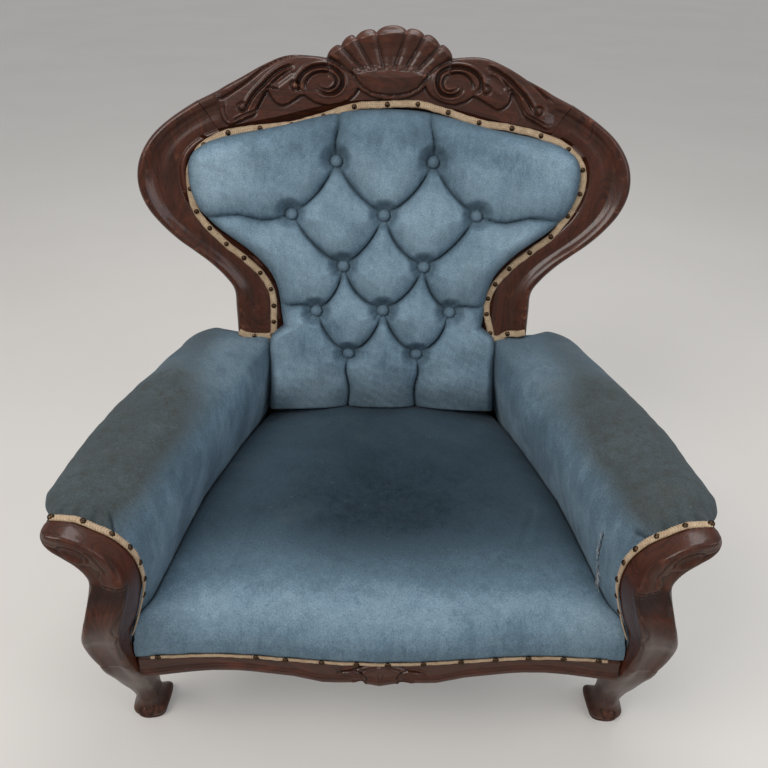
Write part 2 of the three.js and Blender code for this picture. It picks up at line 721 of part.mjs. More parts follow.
// the pad fills the opening of the show-wood: its edge is the wood's inner edge less a gap
const woodEdge = (p) => {
  const len = Math.hypot(p[2] - p[0], p[3] - p[1]);
  return [p[0] - (p[2] - p[0]) / len * GIMP_WIDE, p[1] - (p[3] - p[1]) / len * GIMP_WIDE];
};
const SIDE_EDGE = rows(BAND, BAND_STEPS).map(woodEdge);
const TOP_EDGE = [...SIDE_EDGE.slice(PAD_CORNER), ...rows(CREST, CREST_STEPS).slice(1)
  .map(woodEdge)];
const PAD_CORNER_V = SIDE_EDGE[PAD_CORNER][1] - SOFT_CLEAR * 2;
// half width of the pad along the plane, below the show-wood it meets the arms: v, u
const PAD_SIDE = [[PAD_FOOT_V, 199.5], [-100, 189.5], [-80, 185], [-60, 184.5], [-34, 180],
  [-12, 168.5],
  ...SIDE_EDGE.slice(0, PAD_CORNER + 1).map((q) => [q[1], q[0] - SOFT_CLEAR])];
PAD_SIDE[PAD_SIDE.length - 1][0] = PAD_CORNER_V;
const PAD_TOP = TOP_EDGE.map((q) => [Math.max(q[0], 0), q[1] - SOFT_CLEAR * 2]).reverse();
const BUTTONS = [
  [-79, 293], [79, 293], [-153, 208], [0, 207], [153, 208], [-68, 122], [68, 122],
  [-114, 45], [0, 47], [114, 45], [-59, -32], [59, -32],
];
// folds run from button to button, then out to the edges
const FOLDS = [
  [0, 3], [0, 2], [1, 3], [1, 4], [3, 5], [3, 6], [2, 5], [4, 6],
  [5, 8], [5, 7], [6, 8], [6, 9], [8, 10], [8, 11], [7, 10], [9, 11],
].map(([a, b]) => [BUTTONS[a], BUTTONS[b]]);
[-1, 1].forEach((s) => {
  FOLDS.push([[s * 79, 293], [s * 76, 380]]);
  FOLDS.push([[s * 153, 208], [s * 310, 196]]);
  FOLDS.push([[s * 114, 45], [s * 190, 62]]);
  FOLDS.push([[s * 59, -32], [s * 62, -150]]);
});

function toSegment(u, v, seg) {
  const [a, b] = seg;
  const du = b[0] - a[0];
  const dv = b[1] - a[1];
  const t = clamp(((u - a[0]) * du + (v - a[1]) * dv) / (du * du + dv * dv), 0, 1);
  return Math.hypot(u - a[0] - du * t, v - a[1] - dv * t);
}

const PAD_REST = -3;             // pad surface where it tucks under the braid
const PAD_PUFF = 36;             // fullest rise of the pad in front of the plane
const PAD_FOLD = 13;             // bottom of the folds
const BUTTON_SEAT = 7;           // surface under a button

function padHeight(u, v, edge) {
  let fold = 1e9;
  FOLDS.forEach((seg) => {
    fold = Math.min(fold, toSegment(u, v, seg));
  });
  let button = 1e9;
  BUTTONS.forEach((b) => {
    button = Math.min(button, Math.hypot(u - b[0], v - b[1]));
  });
  const f = clamp(fold / 42, 0, 1);
  const pillow = Math.pow(Math.sin(f * Math.PI / 2), 1.25);
  let w = mix(PAD_FOLD, PAD_PUFF, pillow);
  const b = smooth((button - 20) / 30);
  w = mix(BUTTON_SEAT, w, b);
  const e = clamp(edge / 46, 0, 1);
  const rise = Math.sqrt(1 - (1 - e) * (1 - e));
  return mix(PAD_REST, w, rise);
}

function padPoint(a, b) {
  const v0 = mix(PAD_FOOT_V, PAD_CORNER_V, b);
  const hw = along(PAD_SIDE, v0);
  const u = a * hw;
  const lift = smooth((v0 - 120) / (PAD_CORNER_V - 120));
  const v = v0 + (along(PAD_TOP, Math.abs(u)) - PAD_CORNER_V) * lift;
  return [u, v, hw];
}

function backPad() {
  const rings = [];
  const up = 34;
  const across = 37;
  for (let i = 0; i <= up; i++) {
    const b = i / up;
    const front = [];
    const rear = [];
    for (let j = 0; j < across; j++) {
      const s = j / (across - 1) * 2 - 1;
      const [u, v, hw] = padPoint(s, b);
      const side = hw - Math.abs(u);
      const top = (along(PAD_TOP, Math.abs(u)) - v);
      const low = (v - PAD_FOOT_V) * 1.6 + 4;
      front.push(onBack(u, v, padHeight(u, v, Math.min(side, top, low))));
      if (j % 12 === 0) rear.unshift(onBack(u, v, PAD_REST - 17));
    }
    rings.push([...front, ...rear]);
  }
  return loft(rings);
}

function backHessian() {
  const rings = [];
  for (let i = 0; i <= 12; i++) {
    const b = i / 12;
    const near = [];
    const far = [];
    for (let j = 0; j < 9; j++) {
      const [u, v] = padPoint(j / 4 - 1, b);
      const uu = u * 0.965;
      const vv = v > 0 ? v * 0.985 : v;
      near.push(onBack(uu, vv, PAD_REST - 18));
      far.unshift(onBack(uu, vv, PAD_REST - 18 - HESSIAN));
    }
    rings.push([...near, ...far]);
  }
  return loft(rings);
}

// plain cloth panel that closes the rear, from the seat rail up into the crest
const OUT_SIDE = [
  [-280, 204], [-200, 202], [-138, 200], [-60, 196], [-8, 193], [18, 193], [44, 236],
  [80, 239],
  [104, 253], [126, 274], [145, 297], [164, 320], [187, 343], [214, 363], [244, 375],
  [274, 377], [300, 368], [326, 349],
];
const OUT_TOP = [
  [0, 428], [60, 428], [112, 428], [154, 424], [190, 411], [229, 395], [264, 380],
  [300, 362], [349, 326],
];
function outsideBack() {
  const rings = [];
  const levels = [-280, -225, -170, -110, -60, -15, 16, 44, 80, 120, 160, 200, 240, 280, 326];
  levels.forEach((v0) => {
    const hw = along(OUT_SIDE, v0);
    const near = [];
    const far = [];
    for (let j = 0; j < 11; j++) {
      const u = (j / 5 - 1) * hw;
      const lift = smooth((v0 - 130) / 196);
      const v = v0 + (along(OUT_TOP, Math.abs(u)) - 326) * lift;
      const p = onBack(u, Math.max(v, -150), FRAME_BACK - CLEAR * 2.5);
      const q = onBack(u, Math.max(v, -150), FRAME_BACK - CLEAR * 2.5 - 4);
      const drop = Math.max(-150 - v, 0);
      const back = 24.5 * smooth((-v) / 150);
      p.y += back + drop * 0.06;
      q.y += back + drop * 0.06;
      p.z -= drop;
      q.z -= drop;
      near.push(p);
      far.unshift(q);
    }
    rings.push([...near, ...far]);
  });
  return loft(rings);
}

// arm upholstery: closed section of the stuffed arm at several depths
// each row: y, then x,z pairs from the seat up over the roll and back down inside
const ARM_OUTLINE = [
  [341, 268], [340, 290], [338, 310], [327, 340], [314, 383], [309, 407], [309, 432],
  [315, 458], [331, 481], [355, 498], [376, 509], [404, 512],
];

function armSection(y) {
  // the front end follows the braid line, then the stuffing swells
  const t = smooth((y - POST_BACK - 7) / 55);
  const foot = armFoot(y);
  const s = clamp((y - 32) / 460, 0, 1);
  const outer = along([[14, 416], [45, 434], [90, 444], [132, 438], [232, 424], [320, 404],
    [408, 377], [470, 352], [500, 340]], y);
  const top = along([[14, 512], [60, 515], [110, 518], [220, 519], [340, 516], [430, 510],
    [500, 501]], y);
  const innerTop = along([[14, 309], [70, 303], [129, 290], [260, 262], [384, 224],
    [488, 186]], y);
  const full = [
    [foot + 3, 268], [foot + 1, 300], [foot, 322], [mix(foot, innerTop, 0.3), 352],
    [mix(foot, innerTop, 0.62), 382], [mix(foot, innerTop, 0.85), 410],
    [innerTop, top - 78], [innerTop + 3, top - 50], [innerTop + 17, top - 22],
    [mix(innerTop, outer, 0.36), top - 4], [mix(innerTop, outer, 0.66), top],
    [outer - 14, top - 15],
  ];
  const line = full.map((q, i) => [mix(ARM_OUTLINE[i][0], q[0], t),
    mix(ARM_OUTLINE[i][1], q[1], t)]);
  const railIn = armRailIn(y);
  const railOut = railIn + ARM_RAIL_WIDE;
  const tail = [
    [mix(413, outer, t), mix(500, top - 34, t)],
    [mix(405, outer - 8, t), mix(487, top - 54, t)],
    [mix(398, outer - 24, t), mix(478, top - 58, t)],
    [railOut + 3, mix(472, ARM_RAIL_TOP - ARM_RAIL_DEEP, t)],
    [railOut + 1.5, ARM_RAIL_TOP + 1.5], [railIn - 1.5, ARM_RAIL_TOP + 1.5],
    [railIn - 1.5, ARM_RAIL_TOP - ARM_RAIL_DEEP - 2],
    [line[5][0] + 20, 410],
    [line[3][0] + 17, 352], [line[1][0] + 14, 300], [line[0][0] + 13, 268],
  ];
  return [...line, ...tail];
}

function armPad(side) {
  const rings = [];
  const stations = [POST_BACK + CLEAR, 20, 30, 45, 66, 98, 145, 195, 250, 305, 360, 405, 440,
    468, 486];
  const last = stations[stations.length - 1];
  stations.forEach((y) => {
    // the outer half of the rear end runs on past the stile
    const run = y === last ? 34 : 0;
    rings.push(armSection(y).map(([x, z]) => (
      V(side * x, y + run * smooth((x - 262) / 34), z))));
  });
  return loft(rings);
}

function armRail(side) {
  const ring = (y) => {
    const a = armRailIn(y);
    const b = a + ARM_RAIL_WIDE;
    const top = ARM_RAIL_TOP;
    return [V(side * a, y, top), V(side * b, y, top), V(side * b, y, top - ARM_RAIL_DEEP),
      V(side * a, y, top - ARM_RAIL_DEEP)];
  };
  return loft([ring(POST_BACK + CLEAR), ring(ARM_RAIL_END)]);
}

function outsideArm(side) {
  const rings = [];
  // height share, hollow, front edge behind the leg and the post
  const bend = [[0, 0, LEG_REAR + 3], [0.3, -0.3, 58], [0.65, 2, 40], [1, 0, POST_BACK + 6]];
  for (let i = 0; i <= 5; i++) {
    const at = ([t, k, start], thick) => {
      const y = mix(start, 520, i / 5);
      const low = sideOuter(y) + CLEAR;
      const high = armRailIn(y) + ARM_RAIL_WIDE + 5;
      return V(side * (mix(low, high, t) - k * 3 + thick), y,
        mix(SEAT_RAIL_FOOT, ARM_RAIL_TOP - ARM_RAIL_DEEP - CLEAR * 2, t));
    };
    const face = bend.map((b) => at(b, 5));
    rings.push([...face, ...bend.slice().reverse().map((b) => at(b, 0))]);
  }
  return loft(rings);
}

// ---- braid ----
function gimpAlong(path, count, up, wide) {
  const list = rows(path, count);
  return loft(list.map((p, i) => {
    const a = list[Math.max(i - 1, 0)];
    const b = list[Math.min(i + 1, list.length - 1)];
    const dir = V(b[0] - a[0], b[1] - a[1], b[2] - a[2]).normalize();
    const n = up(p, dir);
    const across = dir.clone().cross(n).normalize();
    const c = V(p[0], p[1], p[2]);
    const put = (k, h) => c.clone().addScaledVector(across, k * wide / 2).addScaledVector(n, h);
    return [put(-1, CLEAR), put(-1, GIMP_THICK * 0.6), put(-0.6, GIMP_THICK),
      put(0.6, GIMP_THICK), put(1, GIMP_THICK * 0.6), put(1, CLEAR)];
  }));
}

function backGimp() {
  const half = rows(BAND, BAND_STEPS).map((p) => [p[0], p[1], p[2], p[3]]);
  const crest = rows(CREST, CREST_STEPS).slice(1);
  const all = [...half, ...crest];
  const ringFor = (p, side) => {
    const du = p[2] - p[0];
    const dv = p[3] - p[1];
    const len = Math.hypot(du, dv);
    const at = (k, w) => onBack(side * (p[0] - du / len * k), p[1] - dv / len * k,
      FRAME_FRONT + w);
    return [at(0.2, CLEAR), at(1.4, GIMP_THICK), at(9.6, GIMP_THICK), at(10.8, CLEAR)];
  };
  const rings = all.map((p) => ringFor(p, -1));
  all.slice(0, -1).reverse().forEach((p) => rings.push(ringFor(p, 1)));
  return loft(rings);
}

const GIMP_LIFT = 1.9;           // the braid rides this far off the facing's inner edge
function armGimp(side) {
  const list = rows(ARM_OUTLINE.slice(2), 15);
  const rings = list.map((p, i) => {
    const a = list[Math.max(i - 1, 0)];
    const b = list[Math.min(i + 1, list.length - 1)];
    const len = Math.hypot(b[0] - a[0], b[1] - a[1]);
    const nx = -(b[1] - a[1]) / len;
    const nz = (b[0] - a[0]) / len;
    const put = (y, h) => V(side * (p[0] + nx * h), y, p[1] + nz * h);
    const y0 = POST_BACK - 5;
    const y1 = POST_BACK + 5.5;
    return [put(y0, GIMP_LIFT), put(y0 + 1, GIMP_LIFT + GIMP_THICK),
      put(y1 - 1, GIMP_LIFT + GIMP_THICK), put(y1, GIMP_LIFT)];
  });
  return loft(rings);
}

function seatGimp() {
  const rings = [];
  for (let i = 0; i <= 16; i++) {
    const x = mix(-316, 316, i / 16);
    const y = frontFace(x);
    rings.push([V(x, y - 0.4, SEAT_RAIL_TOP - 2), V(x, y - 2.2, SEAT_RAIL_TOP - 1),
      V(x, y - 2.2, SEAT_RAIL_TOP + 4), V(x, y - 0.4, SEAT_RAIL_TOP + 6)]);
  }
  return loft(rings);
}

function coveredButton(u, v) {
  const w0 = BUTTON_SEAT + CLEAR * 3;
  const rings = [[0.9, 0], [1, 2], [0.6, BUTTON_RISE]]
    .map(([k, w]) => {
      const ring = [];
      for (let j = 0; j < 8; j++) {
        const a = j / 8 * 2 * Math.PI;
        ring.push(onBack(u + Math.cos(a) * BUTTON_RADIUS * k, v + Math.sin(a) * BUTTON_RADIUS * k,
          w0 + w));
      }
      return ring;
    });
  return loft(rings);
}

// ---- colours ----
const tone = (r, g, b) => new THREE.Color().setRGB(r / 255, g / 255, b / 255,
  THREE.SRGBColorSpace);
const WOOD = { color: tone(86, 44, 30), roughness: 0.32, metalness: 0 };
const HARDWOOD = { color: tone(168, 128, 88), roughness: 0.8, metalness: 0 };
const VELVET = { color: tone(88, 122, 146), roughness: 0.92, metalness: 0 };
const SEAT_VELVET = { color: tone(62, 88, 104), roughness: 0.92, metalness: 0 };
const ARM_VELVET = { color: tone(84, 100, 108), roughness: 0.94, metalness: 0 };
const BRAID = { color: tone(196, 164, 126), roughness: 0.9, metalness: 0 };
const JUTE = { color: tone(150, 122, 84), roughness: 0.95, metalness: 0 };
const STEEL = { color: tone(120, 112, 104), roughness: 0.45, metalness: 0.9 };
const CAMBRIC = { color: tone(30, 30, 32), roughness: 0.95, metalness: 0 };

// ---- assembly ----
const root = new THREE.Group();
root.name = 'armchair';

function add(name, geometry, look) {
  geometry.computeVertexNormals();
  const mesh = new THREE.Mesh(geometry, new THREE.MeshStandardMaterial(look));
  mesh.name = name;
  root.add(mesh);
}

add('crest_rail', crestRail(), WOOD);
const sides = [['left', -1], ['right', 1]];
sides.forEach(([name, s]) => {
  add('stile_' + name, stile(s), WOOD);
  add('front_post_' + name, frontPost(s), WOOD);
  add('rear_leg_' + name, rearLeg(s), WOOD);
  add('side_rail_' + name, sideRail(s), HARDWOOD);
  add('arm_rail_' + name, armRail(s), HARDWOOD);
  add('corner_block_front_' + name, cornerBlock(s, false), HARDWOOD);
  add('corner_block_rear_' + name, cornerBlock(s, true), HARDWOOD);
  add('arm_pad_' + name, armPad(s), ARM_VELVET);
  add('outside_arm_' + name, outsideArm(s), VELVET);
  add('arm_gimp_' + name, armGimp(s), BRAID);
});
add('front_rail', frontRail(), WOOD);
add('back_rail', backRail(), HARDWOOD);
add('tack_rail', tackRail(), HARDWOOD);

const WEB_X = [-110, 0, 110];
const WEB_Y = [140, 262, 384];
WEB_X.forEach((x, i) => {
  add('webbing_long_' + (i + 1), strap([x, 22], [x, 552], WEB_Z, WEB_WIDE), JUTE);
});
WEB_Y.forEach((y, i) => {
  const w = sideOuter(y) - 8;
  add('webbing_cross_' + (i + 1), strap([-w, y], [w, y], WEB_Z2, WEB_WIDE), JUTE);
});
let spring = 0;
WEB_Y.forEach((y) => {
  WEB_X.forEach((x) => {
    spring += 1;
    let roof = 1e9;
    for (let k = 0; k < 8; k++) {
      const a = k / 8 * 2 * Math.PI;
      roof = Math.min(roof, hessianTop(x + Math.cos(a) * SPRING_RADIUS * 1.1,
        y + Math.sin(a) * SPRING_RADIUS * 1.1));
    }
    add('seat_spring_' + spring, coil(x, y, WEB_Z + WEB_THICK + CLEAR,
      roof - HESSIAN - CLEAR * 2), STEEL);
  });
});
add('spring_hessian', hessian(), JUTE);
add('seat_pad', seatPad(), SEAT_VELVET);
add('seat_gimp', seatGimp(), BRAID);
add('back_pad', backPad(), VELVET);
add('back_hessian', backHessian(), JUTE);
add('outside_back', outsideBack(), VELVET);
add('back_gimp', backGimp(), BRAID);
BUTTONS.forEach(([u, v], i) => {
  add('back_button_' + (i + 1), coveredButton(u, v), VELVET);
});
const coverZ = WEB_Z2 - CLEAR - 1;
const COVER = [[312, 30], [322, 78], [241, 518], [205, 522], [205, 548]];
const coverPlan = [...COVER, ...COVER.slice().reverse().map(([x, y]) => [-x, y])];
add('dust_cover', loft([coverZ, coverZ + 1].map((z) => coverPlan.map(([x, y]) => V(x, y, z)))),
  CAMBRIC);

// the origin is the middle of the box at the floor
const box = new THREE.Box3().setFromObject(root);
const shift = V(-(box.min.x + box.max.x) / 2, -(box.min.y + box.max.y) / 2, -box.min.z);
root.children.forEach((m) => {
  m.geometry.translate(shift.x, shift.y, shift.z);
});

export default root;
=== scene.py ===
import math

import bpy
import numpy as np
from mathutils import Matrix, Vector


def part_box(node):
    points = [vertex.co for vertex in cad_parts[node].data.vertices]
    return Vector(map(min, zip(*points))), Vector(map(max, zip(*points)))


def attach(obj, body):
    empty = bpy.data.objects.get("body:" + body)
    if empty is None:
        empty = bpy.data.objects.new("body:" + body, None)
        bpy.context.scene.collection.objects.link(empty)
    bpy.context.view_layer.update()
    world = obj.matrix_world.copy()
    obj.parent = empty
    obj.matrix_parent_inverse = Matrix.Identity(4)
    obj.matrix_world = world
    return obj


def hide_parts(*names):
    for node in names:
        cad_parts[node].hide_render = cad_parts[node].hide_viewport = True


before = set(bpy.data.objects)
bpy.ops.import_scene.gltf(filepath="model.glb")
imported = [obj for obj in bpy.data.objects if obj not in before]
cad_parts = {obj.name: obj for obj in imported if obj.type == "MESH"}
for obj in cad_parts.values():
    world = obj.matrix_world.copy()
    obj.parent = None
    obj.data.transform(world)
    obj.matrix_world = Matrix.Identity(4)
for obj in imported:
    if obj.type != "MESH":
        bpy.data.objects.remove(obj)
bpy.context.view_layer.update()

bl_info = {
    "name": "Buttoned Show-wood Armchair",
    "version": (1, 0, 0),
    "blender": (4, 5, 0),
    "location": "3D View > Sidebar > Armchair",
    "description": "Builds the carved, buttoned and worn velvet armchair piece by piece",
    "category": "Object",
}

# The shapes are set out in millimetres on the maker's own plan, whose depth starts at the
# front of the seat. DEPTH_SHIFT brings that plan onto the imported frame.
MM_PER_M = 1000
BACK_RAIL_DEPTH = 532
DEPTH_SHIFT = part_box("back_rail")[0][1] * MM_PER_M - BACK_RAIL_DEPTH

# The back leans about a level line, wraps forward at its sides and tucks in at its foot.
RECLINE = math.radians(15.5)
BACK_LINE_Y, BACK_LINE_Z = 503, 505
WRAP_DEEP, WRAP_HALF_WIDE = 18, 332
WRAP_STARTS, WRAP_FADE = -40, 200
TUCK_DEEP, TUCK_TALL = 40, 138

# Outlines of the pieces
# show-wood of the back: inner u, inner v, outer u, outer v
BAND = [
    (181, 2, 253, 14), (187, 42, 251, 48), (191, 78, 253, 80), (201, 106, 269, 104),
    (218, 128, 291, 126), (241, 148, 315, 145), (266, 165, 340, 164), (291, 184, 364, 187),
    (313, 209, 385, 214), (327, 239, 397, 244), (332, 272, 398, 274), (327, 297, 389, 303),
    (312, 316, 369, 332), (292, 330, 338, 358), (268, 340, 297, 384),
]
CREST = [
    (268, 340, 297, 384), (238, 347, 264, 400), (203, 354, 229, 418), (168, 361, 190, 439),
    (133, 370, 154, 452), (99, 378, 112, 452), (66, 384, 66, 446), (32, 387, 32, 444),
    (0, 388, 0, 444),
]
# the braid's rebate, and the faces of the band, as heights above the plane of the back
GIMP_WIDE = 11
BACK_FACE = -28
FRONT_FLAT = 3
EDGE_ROUND = 7
# rounded outer edge and rear of the band: share of its width, height
BAND_REAR = [(1.0, -4), (0.995, -12), (0.97, -20), (0.9, -26), (0.84, BACK_FACE),
             (0.4, BACK_FACE)]
# section of a stile from its inner edge (0) to its outer one (1), and its height
STILE_SHAPE = [
    (0, 3), (0.04, 4.2), (0.14, 5.2), (0.26, 5.4), (0.4, 4.2), (0.52, 4.0), (0.64, 6.8),
    (0.74, 10.8), (0.82, 13), (0.9, 12.6), (0.96, 9.2), (1.0, 2.5),
]

# carved leaf fields of the crest, left (-) and right (+) of the shell, u and v
CREST_GROUND = 4.8
LEAF_PROUD, LEAF_SWELL, LEAF_DIP = 5.7, 1.2, 1.6
TOP_BAND_HEIGHT = 10.0
STEP_LEFT = [
    (-262.6, 384.2), (-264.6, 375.7), (-263.5, 364.4), (-257.6, 353), (-248.8, 346.4),
    (-237.6, 350.4), (-223.3, 357.3), (-212.2, 361.2), (-208, 367), (-203.7, 376.5),
    (-198.4, 386), (-192.1, 395.5), (-187, 400.3), (-184.2, 395.6), (-180.4, 388.2),
    (-173.6, 380.7), (-165.7, 377.1), (-156.6, 380), (-146.5, 385.8), (-136.5, 392.5),
    (-129.5, 394.1), (-122.6, 389), (-112.7, 383.1), (-100.7, 379.8), (-88.7, 379),
    (-74.7, 381.1), (-60.7, 387), (-50.8, 394.6), (-44.4, 405), (-46.9, 416.2),
    (-50.9, 425.4),
]
TOP_LEFT = [
    (-262.6, 384.2), (-247.9, 392.9), (-221.4, 410.1), (-197.1, 428.9), (-175, 442.1),
    (-157.2, 448.8), (-135.5, 452.4), (-113.9, 452.1), (-94.2, 448.8), (-76.5, 440.7),
    (-62.7, 432.6), (-50.9, 425.4),
]
STEP_RIGHT = [
    (67, 427), (63.3, 417.7), (63.5, 409.3), (68.8, 399.1), (79, 390.8), (95.2, 384),
    (111.3, 382.3), (127.1, 387.1), (139.8, 395.4), (147.9, 392.6), (157.1, 387.5),
    (167.5, 381.6), (178.8, 375.1), (187.7, 377.7), (194.4, 383.8), (198, 391.4),
    (198.9, 399.9), (202.4, 400.9), (207.8, 393.5), (215.7, 380.3), (222.5, 368.1),
    (227.8, 363.4), (241.4, 355.9), (259.3, 346), (269.2, 348.6), (276.7, 356.4),
    (281, 366), (279.3, 375.5), (275.7, 383.1),
]
TOP_RIGHT = [
    (275.7, 383.1), (269.5, 384.9), (257, 392.3), (237.8, 408.9), (218.8, 425.4),
    (200.2, 438.1), (179.8, 448), (159.8, 454.1), (140, 456.2), (126.2, 454.6),
    (106.7, 451.5), (91.1, 444), (77.6, 435.5), (67, 427),
]
# gouged lines: points, half width, depth
GOUGES = [
    ([(-143.2, 436.5), (-151.5, 435.5), (-163.5, 430.9), (-175.5, 423.3), (-185.6, 415.2),
      (-194.8, 405.8), (-204, 397.2), (-211.2, 388.7), (-216.9, 380.1), (-221.2, 371.6),
      (-223, 366.8)], 2.6, 5.0),
    ([(-176.9, 408.3), (-167.8, 414.5), (-157.7, 421.7), (-146.7, 430)], 5.5, 2.4),
    ([(-182.9, 405.9), (-178.8, 411), (-169.7, 418.6), (-157.6, 426.7), (-144.1, 433.7)],
     1.5, 2.6),
    ([(-187, 400.3), (-184.3, 405.4), (-179, 403.2), (-170.1, 401.1)], 1.5, 3.2),
    ([(-190.1, 397), (-196.8, 387), (-203.1, 375.6), (-209.4, 367.4), (-221.1, 363.4),
      (-232.3, 358.1), (-244.6, 351.7)], 1.5, 2.2),
    ([(-256.5, 377.7), (-256.9, 368.2), (-253.8, 357.8), (-248.7, 350.3)], 1.6, 2.2),
    ([(-128.4, 396.4), (-136.3, 401), (-139.2, 408.4), (-136.4, 417.7), (-129.6, 426.5),
      (-119.6, 433), (-108.1, 436.1), (-96.3, 436.8), (-84.5, 434.2), (-75, 427.9),
      (-69.1, 419.6), (-68.7, 410.3), (-72.7, 402.4), (-80.7, 397), (-90.6, 395.4),
      (-99.6, 396.8), (-106.5, 400.8), (-109.8, 406.4)], 2.7, 6.0),
    ([(-125.4, 397.9), (-127.7, 405.8), (-125.2, 414.2), (-118.2, 422.3), (-108.2, 426.8),
      (-98.3, 428.1), (-87.5, 425.8), (-80.2, 419.4), (-79, 411.1), (-83.6, 404.5),
      (-91.6, 401), (-99.5, 402.4), (-105.5, 406.4), (-107.4, 409.8)], 1.7, 4.0),
    ([(156.6, 437.9), (166.7, 435.4), (177.8, 430.4), (190.2, 422.8), (201.6, 414),
      (212.2, 404.4), (221.8, 393.7), (230, 382.4), (236.8, 370.2)], 2.6, 5.0),
    ([(163.2, 426.5), (170.5, 418.2), (180.9, 410.9), (190.2, 404.9)], 5.5, 2.4),
    ([(159.9, 432.4), (172, 428.8), (182.3, 421.6), (190.8, 412), (197.1, 405.5)], 1.5, 2.6),
    ([(193.4, 400.4), (199.2, 405), (202.8, 400.5)], 1.5, 3.2),
    ([(205.4, 401), (212.1, 389.8), (220, 375.7), (227.5, 367.2), (240, 361.6),
      (251.5, 355.1), (259.9, 350.8)], 1.5, 2.2),
    ([(270.9, 379.2), (274.3, 369.7), (271.1, 358.2), (262.9, 350.8)], 1.6, 2.2),
    ([(139.7, 397.8), (149.4, 403.9), (151.5, 413.3), (147.5, 422.9), (137.5, 431.3),
      (125.1, 436.2), (109.2, 437.4), (95.4, 434.5), (85.4, 427.7), (81.8, 417),
      (83.5, 406.8), (90.8, 397.9), (102.8, 394.9), (113.7, 397.4), (120.9, 403.2),
      (122.2, 409.2)], 2.7, 6.0),
    ([(137.5, 401.9), (138.1, 411.3), (132.7, 420.5), (122.5, 427.4), (109.5, 428.5),
      (98.7, 425.2), (91.1, 418.1), (90, 409.7), (94.6, 403.2), (103.6, 401.1),
      (112.5, 403.8), (116.6, 409.5)], 1.7, 4.0),
]
# round beads: u, v, radius
BEAD_FOOT = 9.5
BEADS = [(-227.7, 373.4, 5), (-143.8, 406.5, 4.8), (244.6, 373.1, 5), (159.9, 404.1, 4.8)]
# scallop shell: foot of each flute, its notch on the rim, and the crown between notches
SHELL_FOOT = [(-50, 426), (-33, 430), (-19, 431), (-3, 431.5), (12, 431.5), (29, 431),
              (47, 430), (64, 425)]
SHELL_NOTCH = [(-93, 452), (-71.4, 466.5), (-48, 479.8), (-15.5, 487.9), (31.8, 490.8),
               (60.2, 484), (85, 469.1), (105.2, 453)]
SHELL_CROWN = [(-85.6, 463.8), (-64.5, 478.5), (-35, 490.7), (9.3, 498.5), (46.7, 493.3),
               (73.5, 482.3), (95.9, 467)]
SHELL_EDGE = [
    (-93.2, 452.4), (-80.5, 446.2), (-68.6, 439.6), (-56.8, 431.8), (-49.9, 425.4),
    (-46.5, 417.1), (-36.9, 406.1), (-22.9, 398.4), (-8.9, 395.2), (7.1, 394.1),
    (23, 395.1), (38.9, 398.7), (50.7, 405.4), (58.4, 413.9), (65.1, 423.3),
    (71.8, 430.8), (81.5, 438.3), (95, 445.9), (108.6, 451.9),
]
# moulded rim below the bowl of the shell
SHELF_HEIGHT = 10.2
SHELL_RIM = [
    (-50.8, 412), (-43.8, 405), (-34.9, 399.5), (-22.9, 393.1), (-8.8, 389.6), (7.1, 388.5),
    (23.1, 389.1), (39, 393), (50.8, 398.8), (58.7, 404.6), (66, 413),
]

SHELL_LEFT, SHELL_RIGHT = -93, 105
# heights along a flute, from its foot (0) to its notch on the rim (1), and over the bowl
FLUTE_BASE = [(-0.3, 17), (0.02, 16), (0.16, 10), (0.36, 9), (0.58, 10.5), (0.78, 14),
              (0.92, 16), (1.0, 12.5), (1.2, 10)]
FLUTE_SHARE = [(0, 0), (0.02, 0.5), (0.2, 0.85), (0.4, 1), (0.8, 1), (0.94, 0.95),
               (1.05, 0.6)]
FLUTE_PROUD, FLUTE_SUNK = 7, 4.5
SHELL_BOWL = [(0, 15), (0.3, 18), (0.7, 16.5), (0.93, 12.5), (1, 7)]
# the crest's relief runs out into the plain stile over this stretch of u
STILE_JOIN, STILE_JOIN_FADE = 250, 22

# arm post: outer x, outer z, inner x, inner z, front, rear, step of the rear inner edge
POST = [
    (416, 499, 411, 511, -8, 14, 0), (404, 483, 396, 513, -13, 14, 0),
    (390, 471, 376, 509, -15, 14, 0), (377, 459, 355, 498, -16, 14, 0),
    (368, 446, 336, 481, -17, 14, 5), (365, 431, 322, 458, -17, 14, 7),
    (367, 414, 314, 433, -26, 14, 5), (371, 394, 318, 408, -39, 14, 9),
    (378, 370, 325, 383, -42, 14, 11), (386, 345, 334, 352, -34, 14, 11),
    (391, 322, 341, 326, -23, 14, 7), (391, 298, 341, 302, -15, 14, 1),
    (388, 279, 340, 281, -10, 14, 0), (384, 265.6, 339, 266.2, -7, 14, 0),
]
# front leg below it: x, y, z, half width, half depth
LEG = [
    (361, 22, 262, 24, 29), (360, 29, 240, 25, 28), (360, 44, 205, 25, 26),
    (363, 63, 165, 22.5, 24), (366, 84, 122, 19.5, 21), (371, 103, 82, 17, 19),
    (375, 117, 50, 17, 19), (377, 125, 30, 21, 24), (377, 129, 17, 27, 31),
    (377, 131, 9, 27, 31), (377, 131, 7, 24, 28), (377, 131, 0, 24, 28),
]
POST_SECTION = [
    (-1, -0.5), (-0.86, -0.93), (-0.6, -1), (-0.35, -0.9), (0.2, -0.9), (0.58, -1),
    (0.86, -0.94), (1, -0.5), (1, 1), (0.2, 1), (-0.8, 1), (-1, 0.7),
]
LEG_SECTION = [
    (-1, -0.45), (-0.82, -0.82), (-0.45, -1), (-0.1, -1.04), (0.3, -1.0), (0.62, -0.93),
    (0.88, -0.75), (1, -0.35), (0.98, 0.9), (0.3, 1), (-0.7, 1), (-1, 0.6),
]
